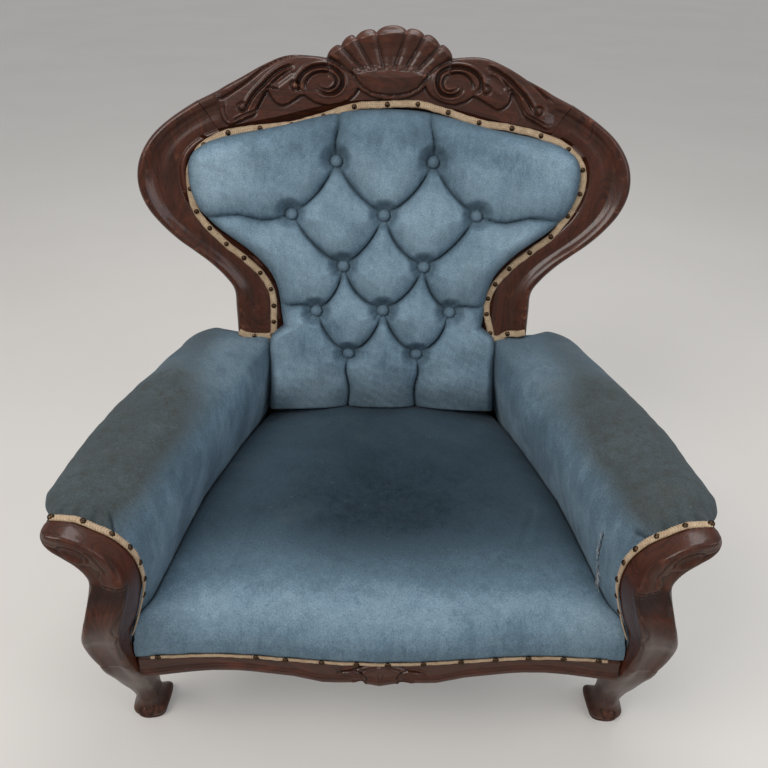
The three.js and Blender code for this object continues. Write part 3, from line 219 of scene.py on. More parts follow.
LEAF_EDGE = [
    (412, 501.8), (402.4, 512), (383.3, 511.2), (360.6, 505.5), (344.5, 495.6),
    (332.9, 484.5), (328.5, 475.3), (322.6, 464.9), (316.5, 452.3), (311, 438),
    (328.6, 434), (341, 434), (346.2, 438), (348.4, 442), (347.7, 449.8), (345.6, 455.1),
    (351.1, 458.2), (354.3, 464.5), (368, 466), (379, 472.1), (389.5, 483.8),
    (394.8, 490.9), (404.5, 494.8),
]
LEAF_GOUGES = [
    ([(393.4, 490.5), (383.5, 495.1), (373.4, 493.2), (363.8, 488.2), (357.8, 480.1),
      (355.2, 469.7)], 2.0, 2.2),
    ([(358.4, 493.4), (349.7, 483.3), (343.2, 468.9), (336.9, 452.1)], 1.6, 1.4),
    ([(349, 497), (338.5, 486), (331, 472), (325.5, 455)], 1.6, 1.2),
]
LEAF_HOLLOW = [(388, 489), (376, 484), (365, 477)]
POST_ARRIS_IN = [(309.4, 440), (315.5, 420.4), (323.7, 402.6), (334.4, 384.4), (337.1, 373),
                 (336.2, 354.4), (343, 330), (346, 300), (346, 285)]
POST_GOUGES = [
    ([(361.1, 430.7), (366.5, 417.6), (371.3, 397.5), (372.8, 384), (369.8, 377.1)], 1.7, 3.0),
    (POST_ARRIS_IN, 1.4, 1.6),
    ([(346.5, 435.7), (342.6, 431.8), (333.4, 431.1), (313.5, 434.6)], 2.0, -2.6),
]
TOE_GOUGES = [
    ([(367, 36), (366, 24), (371, 15), (381, 13), (388, 19), (386, 27), (379, 28),
      (376, 22)], 2.0, 2.6),
    ([(352, 150), (360, 90), (366, 55)], 1.3, 0.9),
]
POST_RING_COUNT = 112
LEG_TOP, LEG_TURN = 262, 70
# raked rear leg: x, y, z, half width, half depth
REAR_LEG = [
    (236, 604, 0, 15, 16), (235, 592, 45, 16, 17), (233, 572, 120, 18, 20),
    (230, 552, 200, 21, 22), (228, 547, 262, 21, 22), (225, 549, 330, 20, 20),
    (221, 546, 395, 19, 17), (217, 537, 450, 19, 14), (215, 528, 492, 18, 12),
]
REAR_LEG_SECTION = [(-1, -0.55), (-0.62, -1), (0.62, -1), (1, -0.55), (1, 0.55), (0.62, 1),
                    (-0.62, 1), (-1, 0.55)]
# front rail: its bowed face and its waved foot over the distance from the middle
FRONT_HALF_LONG = 334.6
FRONT_TOP, FRONT_BOTTOM = 264, 222
FRONT_LINE = [(0, 1), (60, 3), (122, 8), (180, 13), (233, 15), (290, 12), (346, 8)]
FRONT_FOOT = [(0, 224), (24, 229), (46, 226), (80, 224), (120, 232), (200, 236),
              (260, 233), (324, 226)]
RAIL_SHELL = [(-22, 232), (-17, 227), (-6, 224.6), (4, 223.7), (15, 224.5), (23, 227.4),
              (28, 232.7), (28, 250), (3, 262), (-24, 250)]
RAIL_GOUGES = [
    ([(-18, 261), (-26, 259), (-36, 254), (-45, 251), (-54, 249), (-60, 243)], 2.0, 3.0),
    ([(-58.5, 244.9), (-51.5, 249.8), (-41.1, 251.2), (-32.5, 250.3), (-23.8, 245.5),
      (-18.6, 239.2), (-20.3, 235.1), (-29, 233.2), (-41.2, 233.9)], 1.8, 3.4),
    ([(-38.5, 252.6), (-30.7, 257.8), (-20.4, 261.0), (-6.6, 262.0), (7.1, 262.0)], 1.6, 2.4),
    ([(7.1, 262), (17.4, 261.6), (27.8, 257.9), (40.1, 252.3), (54.1, 247.9), (61.3, 239.6)],
     1.8, 2.8),
    ([(64.8, 239.3), (61.1, 244.9), (54, 248.4), (45.3, 250.8), (34.9, 249.8), (26.4, 244.7),
      (24, 238.2), (28.4, 234), (38.9, 232.3), (51.1, 233.3)], 1.8, 3.4),
    ([(-3, 251), (-2, 243), (-1, 234)], 1.1, 1.4),
    ([(5, 251), (4, 243), (3, 234)], 1.1, 1.4),
]

# covered buttons, u and v, and which of them a fold joins
BUTTONS = [
    (-79, 293), (79, 293), (-153, 208), (0, 207), (153, 208), (-68, 122), (68, 122),
    (-114, 45), (0, 47), (114, 45), (-59, -32), (59, -32),
]
BUTTON_PAIRS = [
    (0, 3), (0, 2), (1, 3), (1, 4), (3, 5), (3, 6), (2, 5), (4, 6),
    (5, 8), (5, 7), (6, 8), (6, 9), (8, 10), (8, 11), (7, 10), (9, 11),
]
# folds from the outer buttons to the edge of the pad, right half, and how they fade
EDGE_FOLDS = [
    ([(79, 293), (80, 322), (74, 350), (76, 382)], 0.75),
    ([(153, 208), (196, 197), (246, 206), (310, 196)], 0.7),
    ([(114, 45), (136, 56), (162, 54), (190, 62)], 0.7),
    ([(59, -32), (64, -66), (58, -104), (62, -150)], 0.8),
]
# pleats that run off a button: their slope and their reach
BUTTON_PLEATS = [(0.12, 40), (-0.35, 34), (-0.85, 30), (0.6, 24)]
PAD_FOOT = -152
BACK_NAILS = [
    (-222, -1), (-191, 0), (-188, 24), (-187, 52), (-191, 81), (-208, 109), (-234, 134),
    (-262, 157), (-288, 183), (-308, 210), (-316, 246), (-313, 283), (-291, 315),
    (-252, 334), (-201, 342), (-150, 348), (-99, 362), (-50, 377), (3, 381), (52, 382),
    (101, 370), (151, 355), (204, 347), (251, 336), (296, 316), (321, 284), (320, 246),
    (303, 210), (278, 176), (245, 149), (213, 121), (191, 94), (180, 69), (179, 42),
    (187, 8), (217, 8),
]
ARM_NAILS = {
    -1: [(404, 506), (368, 505), (335, 487), (318, 465), (309, 440), (308, 411), (313, 384)],
    1: [(405, 510), (370, 516), (335, 501), (314, 475), (305, 448), (302, 419), (305, 388),
        (309, 355)],
}
# the tear on the inner side of the right arm: depth and height
TEAR = [(85, 433), (90, 406), (93, 383), (92, 365), (93, 348)]
GIMP_LINE_Z = 265.6
SEAT_NAILS = [-306, -171, -130, -80, -32, 11, 60, 112, 160, 206, 255, 303]

# arm pad and arm rail over the depth of the chair
ARM_FRONT = 14
BRAID_DEPTH = 14.3
ARM_RAIL_RUN, ARM_RAIL_WIDE = 504.5, 40
ARM_FOOT = [(14, 340), (26, 336), (40, 329), (55, 322), (129, 308), (260, 288), (384, 253),
            (488, 217)]
ARM_OUTLINE = [
    (341, 268), (340, 290), (338, 310), (327, 340), (314, 383), (309, 407), (309, 432),
    (315, 458), (331, 481), (355, 498), (376, 509), (404, 512),
]
ARM_OUTER = [(14, 416), (45, 434), (90, 444), (132, 438), (232, 424), (320, 404), (408, 377),
             (470, 352), (500, 340)]
ARM_TOP = [(14, 512), (60, 515), (110, 518), (220, 519), (340, 516), (430, 512), (500, 507)]
ARM_LEAN = [(14, 309), (70, 303), (129, 290), (260, 262), (384, 224), (488, 186)]
# crown of the seat over its depth
SEAT_HALF_WIDE, SEAT_DEEP = 337.0, 500
SEAT_TOP = [
    (0, 290), (6, 306), (16, 320), (34, 334), (64, 346), (112, 356), (180, 363),
    (262, 366), (340, 369), (410, 371), (455, 370), (482, 368),
    (492, 362), (500, 350),
]


SIDES = ((-1, "left"), (1, "right"))


# Small mathematics
def smooth(t):
    t = np.clip(t, 0, 1)
    return t * t * (3 - 2 * t)


def mix(a, b, t):
    return a + (b - a) * t


def along(table, key):
    """Value of a piecewise line through pairs."""
    t = np.asarray(table, float)
    return np.interp(key, t[:, 0], t[:, 1])


def through(points, count):
    """Smooth curve through rows of numbers, sampled at count places."""
    p = np.asarray(points, float)
    last = len(p) - 1
    s = np.linspace(0, last, count)
    k = np.minimum(s.astype(int), last - 1)
    t = (s - k)[:, None]
    a, b, c, d = p[np.maximum(k - 1, 0)], p[k], p[k + 1], p[np.minimum(k + 2, last)]
    return 0.5 * (2 * b + (c - a) * t + (2 * a - 5 * b + 4 * c - d) * t * t
                  + (3 * b - a - 3 * c + d) * t ** 3)


def run_of(p):
    """Length along rows of points, from the first to each."""
    return np.concatenate([[0], np.cumsum(np.linalg.norm(np.diff(p, axis=0), axis=1))])


def pick(at, run, p):
    """Rows of p where their running value reaches each of at."""
    return np.stack([np.interp(at, run, p[:, i]) for i in range(p.shape[1])], 1)


def even(points, step):
    """The same curve with its points step apart."""
    p = through(points, len(points) * 12)
    run = run_of(p)
    n = max(int(round(run[-1] / step)), 2)
    return pick(np.linspace(0, run[-1], n + 1), run, p)


def ring_through(points, count):
    """Closed smooth ring through points, sampled at count places."""
    p = np.asarray(points, float)
    closed = np.concatenate([p[-2:], p, p[:3]])
    fine = through(closed, (len(closed) - 1) * 24 + 1)
    fine = fine[2 * 24: (2 + len(p)) * 24 + 1]
    run = run_of(fine)
    return pick(np.linspace(0, run[-1], count, endpoint=False), run, fine)


def to_line(x, y, line):
    """Distance to a line of points, and how far along it the nearest place is, 0 to 1."""
    p = np.asarray(line, float)
    best = np.full(x.shape, 1e9)
    where = np.zeros(x.shape)
    lengths = np.linalg.norm(np.diff(p, axis=0), axis=1)
    total = lengths.sum()
    run = 0.0
    for a, b, n in zip(p[:-1], p[1:], lengths):
        du, dv = b - a
        t = np.clip(((x - a[0]) * du + (y - a[1]) * dv) / max(n * n, 1e-9), 0, 1)
        d = np.hypot(x - a[0] - du * t, y - a[1] - dv * t)
        near = d < best
        best = np.where(near, d, best)
        where = np.where(near, (run + t * n) / total, where)
        run += n
    return best, where


def inside(x, y, outline):
    """True where a point lies within a closed outline."""
    p = np.asarray(outline, float)
    q = np.roll(p, -1, axis=0)
    hit = np.zeros(x.shape, bool)
    for (x0, y0), (x1, y1) in zip(p, q):
        if y0 == y1:
            continue
        crosses = (y0 > y) != (y1 > y)
        at = x0 + (y - y0) / (y1 - y0) * (x1 - x0)
        hit ^= crosses & (x < at)
    return hit


def depth_in(x, y, outline):
    """Signed distance to a closed outline, positive inside."""
    p = np.asarray(outline, float)
    d, _ = to_line(x, y, np.concatenate([p, p[:1]]))
    return np.where(inside(x, y, outline), d, -d)


def noise(p, scale, seed=0):
    """Soft repeatable noise from -1 to 1 over points, by sums of turned waves."""
    rng = np.random.default_rng(seed)
    total = np.zeros(p.shape[:-1])
    for k in range(7):
        direction = rng.normal(size=p.shape[-1])
        direction /= np.linalg.norm(direction)
        wave = 2 * math.pi / (scale * rng.uniform(0.6, 1.7))
        bend = np.sin((p @ rng.normal(size=p.shape[-1])) / scale * 1.3 + k)
        total += np.sin(p @ direction * wave + bend * 1.2 + rng.uniform(0, 6.28))
    return total / 4.2


def on_back(u, v, w):
    """Points of the leaning, gently dished plane of the back."""
    u, v, w = np.broadcast_arrays(np.asarray(u, float), np.asarray(v, float),
                                  np.asarray(w, float))
    wrap = WRAP_DEEP * (np.abs(u) / WRAP_HALF_WIDE) ** 2
    tuck = np.where(v < 0, TUCK_DEEP * (np.clip(-v, 0, None) / TUCK_TALL) ** 1.6, 0)
    d = w + wrap * smooth((v - WRAP_STARTS) / WRAP_FADE)
    return np.stack([u, BACK_LINE_Y + v * math.sin(RECLINE) - d * math.cos(RECLINE) + tuck,
                     BACK_LINE_Z + v * math.cos(RECLINE) + d * math.sin(RECLINE)], -1)


def placed(points):
    """Plan millimetres to frame metres."""
    p = np.array(points, float)
    p[..., 1] += DEPTH_SHIFT
    return p / MM_PER_M


# Making pieces
def nothing_selected():
    """Leave edit mode and select nothing, because operators act on all that is selected."""
    if bpy.context.object and bpy.context.object.mode != "OBJECT":
        bpy.ops.object.mode_set(mode="OBJECT")
    bpy.ops.object.select_all(action="DESELECT")


def only(piece):
    """Select one piece and make it the active one."""
    nothing_selected()
    piece.select_set(True)
    bpy.context.view_layer.objects.active = piece


def named(piece, name):
    piece.name = name
    piece.data.name = name
    return piece


def paint(piece, name, values):
    """Keep a value at each point of a piece, for its material."""
    layer = piece.data.attributes.get(name)
    if layer is None:
        layer = piece.data.attributes.new(name, "FLOAT", "POINT")
    layer.data.foreach_set("value", np.asarray(values, np.float32).reshape(-1))


def points_of(piece):
    co = np.empty(len(piece.data.vertices) * 3)
    piece.data.vertices.foreach_get("co", co)
    return co.reshape(-1, 3)


def lay_points(piece, points):
    piece.data.vertices.foreach_set("co", np.asarray(points, float).reshape(-1))
    piece.data.update()


def surface(name, points, **layers):
    """A grid laid over rings of points, joined along its long edges and filled at its ends."""
    points = np.concatenate([points, points[:, :1]], axis=1)
    layers = {k: np.concatenate([a, a[:, :1]], axis=1) for k, a in layers.items()}
    rows, cols = points.shape[:2]
    nothing_selected()
    bpy.ops.mesh.primitive_grid_add(x_subdivisions=cols - 1, y_subdivisions=rows - 1, size=1)
    piece = named(bpy.context.object, name)
    lay_points(piece, placed(points))
    for key, values in layers.items():
        paint(piece, key, values)
    while piece.data.uv_layers:
        piece.data.uv_layers.remove(piece.data.uv_layers[0])
    bpy.ops.object.mode_set(mode="EDIT")
    bpy.ops.mesh.select_all(action="SELECT")
    bpy.ops.mesh.remove_doubles(threshold=1e-6)
    bpy.ops.mesh.fill_holes(sides=0)
    bpy.ops.mesh.select_all(action="SELECT")
    bpy.ops.mesh.normals_make_consistent(inside=False)
    bpy.ops.object.mode_set(mode="OBJECT")
    bpy.ops.object.shade_smooth()
    return piece


def copy_of(node, name):
    """A merged copy of a CAD node with its own mesh."""
    source = bpy.data.objects[node]
    piece = source.copy()
    piece.data = source.data.copy()
    for key in list(piece.keys()):
        if key.startswith("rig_"):
            del piece[key]
    bpy.context.scene.collection.objects.link(piece)
    piece.parent = None
    piece.matrix_world = Matrix.Identity(4)
    piece.hide_render = False
    piece.hide_viewport = False
    named(piece, name)
    only(piece)
    bpy.ops.object.mode_set(mode="EDIT")
    bpy.ops.mesh.select_all(action="SELECT")
    bpy.ops.mesh.remove_doubles(threshold=1e-5)
    bpy.ops.object.mode_set(mode="OBJECT")
    return piece


def dress(piece, finish, slot, *nodes):
    """Give a piece its finish, its place in the frame and the nodes that it stands for."""
    piece.data.materials.clear()
    piece.data.materials.append(finish_of(finish))
    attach(piece, "root")
    if nodes:
        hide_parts(*nodes)
    return piece


def joined(name, pieces):
    """Several pieces made one object."""
    nothing_selected()
    for p in pieces:
        p.select_set(True)
    bpy.context.view_layer.objects.active = pieces[0]
    bpy.ops.object.join()
    return named(bpy.context.object, name)


# Finishes
class Graph:
    """A short hand for placing and joining shader nodes."""

    def __init__(self, tree):
        self.tree = tree

    def add(self, kind, inputs=None, **settings):
        node = self.tree.nodes.new(kind)
        for key, value in settings.items():
            setattr(node, key, value)
        for key, value in (inputs or {}).items():
            socket = node.inputs[key]
            if isinstance(value, bpy.types.NodeSocket):
                self.tree.links.new(value, socket)
            else:
                socket.default_value = value
        return node

    def math(self, operation, a, b=0.0, clamp=False):
        node = self.add("ShaderNodeMath", {0: a, 1: b}, operation=operation)
        node.use_clamp = clamp
        return node.outputs[0]

    def noise(self, vector, scale, detail=3.0, rough=0.55, distortion=0.0):
        return self.add("ShaderNodeTexNoise", {
            "Vector": vector, "Scale": scale, "Detail": detail, "Roughness": rough,
            "Distortion": distortion}).outputs["Fac"]

    def stretch(self, vector, scale):
        return self.add("ShaderNodeMapping", {"Vector": vector, "Scale": scale}).outputs[0]

    def remap(self, value, low, high, to_low=0.0, to_high=1.0):
        return self.add("ShaderNodeMapRange", {
            "Value": value, "From Min": low, "From Max": high, "To Min": to_low,
            "To Max": to_high}).outputs[0]

    def wash(self, tone, mask, share, over):
        """Lay a colour over a tone by a share of a mask."""
        return self.blend(self.math("MULTIPLY", mask, share, clamp=True), tone, over)

    def blend(self, factor, a, b, mode="MIX"):
        node = self.add("ShaderNodeMix", {0: factor, 6: a, 7: b}, data_type="RGBA",
                        blend_type=mode)
        return node.outputs[2]

    def feed(self, node, socket, value):
        self.tree.links.new(value, node.inputs[socket])

    def layer(self, name):
        return self.add("ShaderNodeAttribute", attribute_name=name).outputs["Fac"]

    def place(self):
        return self.add("ShaderNodeTexCoord").outputs["Object"]


def effect(name, inputs, outputs):
    """A new node group with its sockets."""
    tree = bpy.data.node_groups.new(name, "ShaderNodeTree")
    for label, kind, value in inputs:
        socket = tree.interface.new_socket(label, in_out="INPUT", socket_type=kind)
        if value is not None:
            socket.default_value = value
    for label, kind in outputs:
        tree.interface.new_socket(label, in_out="OUTPUT", socket_type=kind)
    g = Graph(tree)
    return tree, g, tree.nodes.new("NodeGroupInput").outputs, \
        tree.nodes.new("NodeGroupOutput").inputs


FLOAT, VECTOR = "NodeSocketFloat", "NodeSocketVector"


def grain_effect():
    """Long figure and fine pores of mahogany, running along the stretched axis."""
    tree, g, i, o = effect("mahogany_grain", [("Vector", VECTOR, None)],
                           [("Figure", FLOAT), ("Pores", FLOAT), ("Patina", FLOAT)])
    bend = g.noise(i["Vector"], 9.0, 2.0)
    turned = g.add("ShaderNodeVectorMath", {0: i["Vector"], 1: bend}, operation="ADD")
    figure = g.noise(turned.outputs[0], 34.0, 5.0, 0.62, 0.6)
    tree.links.new(g.remap(figure, 0.3, 0.72), o["Figure"])
    pores = g.noise(i["Vector"], 240.0, 2.0, 0.6)
    tree.links.new(g.remap(pores, 0.56, 0.72), o["Pores"])
    patina = g.noise(i["Vector"], 5.0, 4.0, 0.65)
    tree.links.new(g.remap(patina, 0.32, 0.7), o["Patina"])
    return tree


def nap_effect():
    """Velvet pile: broad brushed patches, streaks where it was stroked, and single tufts."""
    tree, g, i, o = effect("velvet_nap", [("Vector", VECTOR, None), ("Patch size", FLOAT, 7.0)],
                           [("Brushed", FLOAT), ("Streaks", FLOAT), ("Tufts", FLOAT)])
    patch = g.noise(i["Vector"], i["Patch size"], 4.0, 0.6, 0.8)
    tree.links.new(g.remap(patch, 0.32, 0.7), o["Brushed"])
    lean = g.stretch(i["Vector"], (1.0, 1.0, 0.28))
    streaks = g.noise(lean, 70.0, 5.0, 0.7, 0.4)
    tree.links.new(g.remap(streaks, 0.3, 0.72), o["Streaks"])
    tufts = g.noise(i["Vector"], 460.0, 3.0, 0.75)
    tree.links.new(tufts, o["Tufts"])
    return tree


def weave_effect():
    """Crossing threads of a plain weave."""
    tree, g, i, o = effect("plain_weave", [("Vector", VECTOR, None), ("Threads", FLOAT, 600.0)],
                           [("Thread", FLOAT), ("Slub", FLOAT)])
    warp = g.add("ShaderNodeTexWave", {"Vector": i["Vector"], "Scale": i["Threads"],
                                       "Distortion": 1.5, "Detail": 1.0}, bands_direction="X")
    weft = g.add("ShaderNodeTexWave", {"Vector": i["Vector"], "Scale": i["Threads"],
                                       "Distortion": 1.5, "Detail": 1.0}, bands_direction="Y")
    tree.links.new(g.math("MULTIPLY", warp.outputs["Fac"], weft.outputs["Fac"]), o["Thread"])
    tree.links.new(g.remap(g.noise(i["Vector"], 60.0, 4.0, 0.7), 0.3, 0.7), o["Slub"])
    return tree


def grime_effect():
    """Patchy dust and handling dirt."""
    tree, g, i, o = effect("grime", [("Vector", VECTOR, None), ("Amount", FLOAT, 0.5)],
                           [("Dirt", FLOAT), ("Specks", FLOAT)])
    broad = g.noise(i["Vector"], 11.0, 5.0, 0.7, 0.5)
    limit = g.math("SUBTRACT", 0.86, g.math("MULTIPLY", i["Amount"], 0.5))
    tree.links.new(g.remap(broad, limit, 0.9), o["Dirt"])
    specks = g.noise(i["Vector"], 160.0, 3.0, 0.8)
    tree.links.new(g.remap(specks, 0.66, 0.74), o["Specks"])
    return tree


EFFECT_MAKERS = {"grain": grain_effect, "nap": nap_effect, "weave": weave_effect,
                 "grime": grime_effect}
EFFECTS = {}


def use_effect(g, name, vector, **values):
    """Place an effect's group in a material, with this material's own values."""
    if name not in EFFECTS:
        EFFECTS[name] = EFFECT_MAKERS[name]()
    node = g.tree.nodes.new("ShaderNodeGroup")
    node.node_tree = EFFECTS[name]
    g.tree.links.new(vector, node.inputs["Vector"])
    for key, value in values.items():
        node.inputs[key.replace("_", " ")].default_value = value
    return node.outputs


def blank_material(name, **settings):
    """A new material with one Principled BSDF, whose plain sockets are set here."""
    material = bpy.data.materials.new(name)
    material.use_nodes = True
    tree = material.node_tree
    tree.nodes.clear()
    g = Graph(tree)
    shader = g.add("ShaderNodeBsdfPrincipled", settings)
    out = g.add("ShaderNodeOutputMaterial")
    tree.links.new(shader.outputs[0], out.inputs[0])
    return material, g, shader


def bump(g, shader, height, strength, distance):
    """Fine relief of a finish, distance in metres."""
    node = g.add("ShaderNodeBump", {"Height": height, "Strength": strength,
                                    "Distance": distance})
    g.feed(shader, "Normal", node.outputs[0])


def colour(property_value):
    return (*property_value[:3], 1.0)


# colours of pores and painted shade, and of what dusts or fuzzes a finish, the same on every
# chair
PORE_DARK = (0.012, 0.005, 0.004, 1)
GOUGE_SHADE = (0.008, 0.004, 0.003, 1)
WOOD_DUST = (0.16, 0.1, 0.07, 1)
FOLD_SHADE = (0.006, 0.012, 0.018, 1)
VELVET_LINT = (0.26, 0.25, 0.22, 1)
VELVET_DUST = (0.13, 0.125, 0.11, 1)
CLOTH_DUST = (0.09, 0.07, 0.055, 1)
BRAID_GAP_SHADE = (0.13, 0.07, 0.035, 1)
BRAID_FUZZ = (0.82, 0.68, 0.5, 1)
BRAID_DUST = (0.2, 0.13, 0.08, 1)
METAL_GRIME = (0.04, 0.025, 0.018, 1)
BEECH_DARK = (0.27, 0.165, 0.09, 1)
BEECH_LIGHT = (0.42, 0.28, 0.16, 1)
BEECH_PORE = (0.13, 0.075, 0.04, 1)
BEECH_DUST = (0.12, 0.09, 0.06, 1)


def show_wood(name, looks, stretch):
    """Lacquered mahogany, with painted shade in its gouges and scuffed pale along its edges."""
    material, g, shader = blank_material(name, **{
        "Coat Weight": looks.wood_gloss, "Coat Roughness": 0.1, "Coat IOR": 1.5,
        "Specular IOR Level": 0.3})
    grain = use_effect(g, "grain", g.stretch(g.place(), stretch))
    dirt = use_effect(g, "grime", g.place(), Amount=0.5)
    tone = g.blend(grain["Figure"], colour(looks.wood_dark), colour(looks.wood_red))
    tone = g.wash(tone, grain["Patina"], 0.45, colour(looks.wood_brown))
    tone = g.wash(tone, grain["Pores"], 0.45, PORE_DARK)
    # painted shade in the carving's low places
    tone = g.wash(tone, g.layer("hollow"), 0.85, GOUGE_SHADE)
    scuff = g.noise(g.place(), 55.0, 5.0, 0.75)
    edge = g.math("MULTIPLY", g.layer("worn"), g.remap(scuff, 0.54, 0.72), clamp=True)
    tone = g.blend(edge, tone, colour(looks.wood_scuff))
    tone = g.wash(tone, dirt["Dirt"], 0.12, WOOD_DUST)
    g.feed(shader, "Base Color", tone)
    rough = g.math("ADD", g.math("MULTIPLY", grain["Patina"], 0.16), 0.27)
    rough = g.math("ADD", rough, g.math("MULTIPLY", edge, 0.35))
    rough = g.math("ADD", rough, g.math("MULTIPLY", dirt["Dirt"], 0.2), clamp=True)
    g.feed(shader, "Roughness", rough)
    height = g.math("SUBTRACT", g.math("MULTIPLY", grain["Figure"], 0.5), grain["Pores"])
    bump(g, shader, g.math("SUBTRACT", height, g.math("MULTIPLY", edge, 1.5)), 0.3, 0.0004)
    return material


def velvet(name, looks, soil, patch):
    """Cut velvet with a brushed pile, with painted light on its raised places and painted shade
    in its folds.
    """
    material, g, shader = blank_material(name, **{
        "Sheen Weight": looks.velvet_sheen, "Sheen Roughness": 0.42,
        "Sheen Tint": (0.78, 0.88, 1.0, 1.0), "Specular IOR Level": 0.12})
    place = g.place()
    nap = use_effect(g, "nap", place, Patch_size=patch)
    dirt = use_effect(g, "grime", place, Amount=0.55)
    tone = g.math("ADD", g.math("MULTIPLY", nap["Brushed"], 0.2),
                  g.math("MULTIPLY", nap["Streaks"], 0.2))
    # painted light: the layer read here lightens the raised places as if lit, besides some tone
    # that varies at random
    tone = g.math("ADD", tone, g.math("MULTIPLY", g.layer("crown"), 0.62))
    tone = g.math("SUBTRACT", tone, 0.06, clamp=True)
    shade = g.blend(g.remap(tone, 0.0, 0.5), colour(looks.velvet_shade),
                    colour(looks.velvet_middle))
    shade = g.blend(g.remap(tone, 0.45, 1.0), shade, colour(looks.velvet_highlight))
    rubbed = g.math("MULTIPLY", g.layer("soil"), g.remap(nap["Streaks"], 0.0, 1.0, 0.8, 1.05))
    shade = g.blend(rubbed, shade, colour(soil))
    # painted shade in the folds and where the pad meets other parts
    shade = g.wash(shade, g.layer("hollow"), 0.9, FOLD_SHADE)
    tuft = g.remap(nap["Tufts"], 0.3, 0.7, 0.7, 1.26)
    grey = g.add("ShaderNodeCombineColor", {0: tuft, 1: tuft, 2: tuft}).outputs[0]
    shade = g.blend(1.0, shade, grey, "MULTIPLY")
    shade = g.wash(shade, dirt["Specks"], 0.28, VELVET_LINT)
    shade = g.wash(shade, dirt["Dirt"], 0.25, VELVET_DUST)
    g.feed(shader, "Base Color", shade)
    g.feed(shader, "Roughness", g.remap(nap["Brushed"], 0.0, 1.0, 0.78, 0.98))
    height = g.math("ADD", nap["Tufts"], g.math("MULTIPLY", nap["Streaks"], 1.4))
    bump(g, shader, height, 0.55, 0.0009)
    return material


def woven(name, light, dark, threads, rough=0.92, depth=0.0006):
    """Plain woven cloth: jute, hessian, webbing or black cambric."""
    material, g, shader = blank_material(name, **{"Specular IOR Level": 0.2})
    cloth = use_effect(g, "weave", g.place(), Threads=threads)
    dirt = use_effect(g, "grime", g.place(), Amount=0.6)
    shade = g.blend(cloth["Thread"], dark, light)
    shade = g.wash(shade, cloth["Slub"], 0.35, tuple(c * 0.6 for c in light[:3]) + (1,))
    shade = g.wash(shade, dirt["Dirt"], 0.4, CLOTH_DUST)
    g.feed(shader, "Base Color", shade)
    g.feed(shader, "Roughness", g.remap(cloth["Slub"], 0, 1, rough - 0.08, rough + 0.05))
    bump(g, shader, cloth["Thread"], 0.6, depth)
    return material


def braid_cord(name, looks):
    """Gimp braid of twisted beige cords, frayed, with painted shade in its hollows and grubby in
    patches.
    """
    material, g, shader = blank_material(name, **{
        "Sheen Weight": 0.25, "Sheen Roughness": 0.4, "Specular IOR Level": 0.25})
    place = g.place()
    fibre = g.noise(place, 520.0, 3.0, 0.75)
    dirt = use_effect(g, "grime", place, Amount=0.6)
    pale = g.noise(place, 90.0, 4.0, 0.7)
    shade = g.blend(g.remap(pale, 0.3, 0.7), colour(looks.braid_dark), colour(looks.braid_light))
    # painted shade where the cords lie low
    shade = g.wash(shade, g.layer("hollow"), 0.9, BRAID_GAP_SHADE)
    shade = g.blend(g.remap(fibre, 0.55, 0.8), shade, BRAID_FUZZ)
    shade = g.wash(shade, dirt["Dirt"], 0.35, BRAID_DUST)
    g.feed(shader, "Base Color", shade)
    g.feed(shader, "Roughness", g.remap(fibre, 0.3, 0.7, 0.78, 0.95))
    bump(g, shader, fibre, 0.7, 0.0007)
    return material


def metal(name, light, dark, rough):
    """Bare metal, worn bright in patches and grimy between them."""
    material, g, shader = blank_material(name, **{"Specular IOR Level": 0.5, "Metallic": 1.0})
    place = g.place()
    dirt = use_effect(g, "grime", place, Amount=0.7)
    worn = g.noise(place, 420.0, 4.0, 0.7)
    shade = g.blend(g.remap(worn, 0.35, 0.7), dark, light)
    shade = g.wash(shade, dirt["Dirt"], 0.6, METAL_GRIME)
    g.feed(shader, "Base Color", shade)
    g.feed(shader, "Roughness", g.remap(worn, 0.3, 0.75, rough + 0.15, rough))
    bump(g, shader, worn, 0.25, 0.0003)
    return material


def raw_wood(name):
    """Plain beech of the hidden frame."""
    material, g, shader = blank_material(name, **{"Specular IOR Level": 0.3})
    grain = use_effect(g, "grain", g.place())
    dirt = use_effect(g, "grime", g.place(), Amount=0.8)
    shade = g.blend(grain["Figure"], BEECH_DARK, BEECH_LIGHT)
    shade = g.wash(shade, grain["Pores"], 0.5, BEECH_PORE)
    shade = g.wash(shade, dirt["Dirt"], 0.6, BEECH_DUST)
    g.feed(shader, "Base Color", shade)
    g.feed(shader, "Roughness", g.remap(grain["Patina"], 0, 1, 0.66, 0.85))
    bump(g, shader, grain["Figure"], 0.3, 0.0005)
    return material


# Sizes and colours
def tint(name, description, default):
    """A colour that a user may change."""
    return bpy.props.FloatVectorProperty(name=name, description=description, default=default,
                                         subtype="COLOR", size=3, min=0, max=1)


def length(name, description, default, low, high):
    """A size that a user may change, in metres."""
    return bpy.props.FloatProperty(name=name, description=description, default=default,
                                   min=low, max=high, unit="LENGTH")


class ChairForm(bpy.types.PropertyGroup):
    """Depths of the carving and fullness of the padding, in metres."""
    carving: bpy.props.FloatProperty(
        name="Carving", description="Share of the full depth of the carved lines",
        default=1.0, min=0.0, max=1.5, subtype="FACTOR")
    pillow: length("Pillow height", "Height of the back's pillows above their folds",
                   0.0235, 0.005, 0.034)
    crease: length("Crease depth", "Depth of the tucked line in each fold", 0.005, 0, 0.01)
    nail: length("Nail width", "Width of a domed upholstery nail", 0.0086, 0.004, 0.011)
    button: length("Button width", "Width of a covered button", 0.0195, 0.012, 0.026)
    slack: length("Cloth slack", "Furthest that the settling cloth moves from its form",
                  0.0035, 0, 0.01)


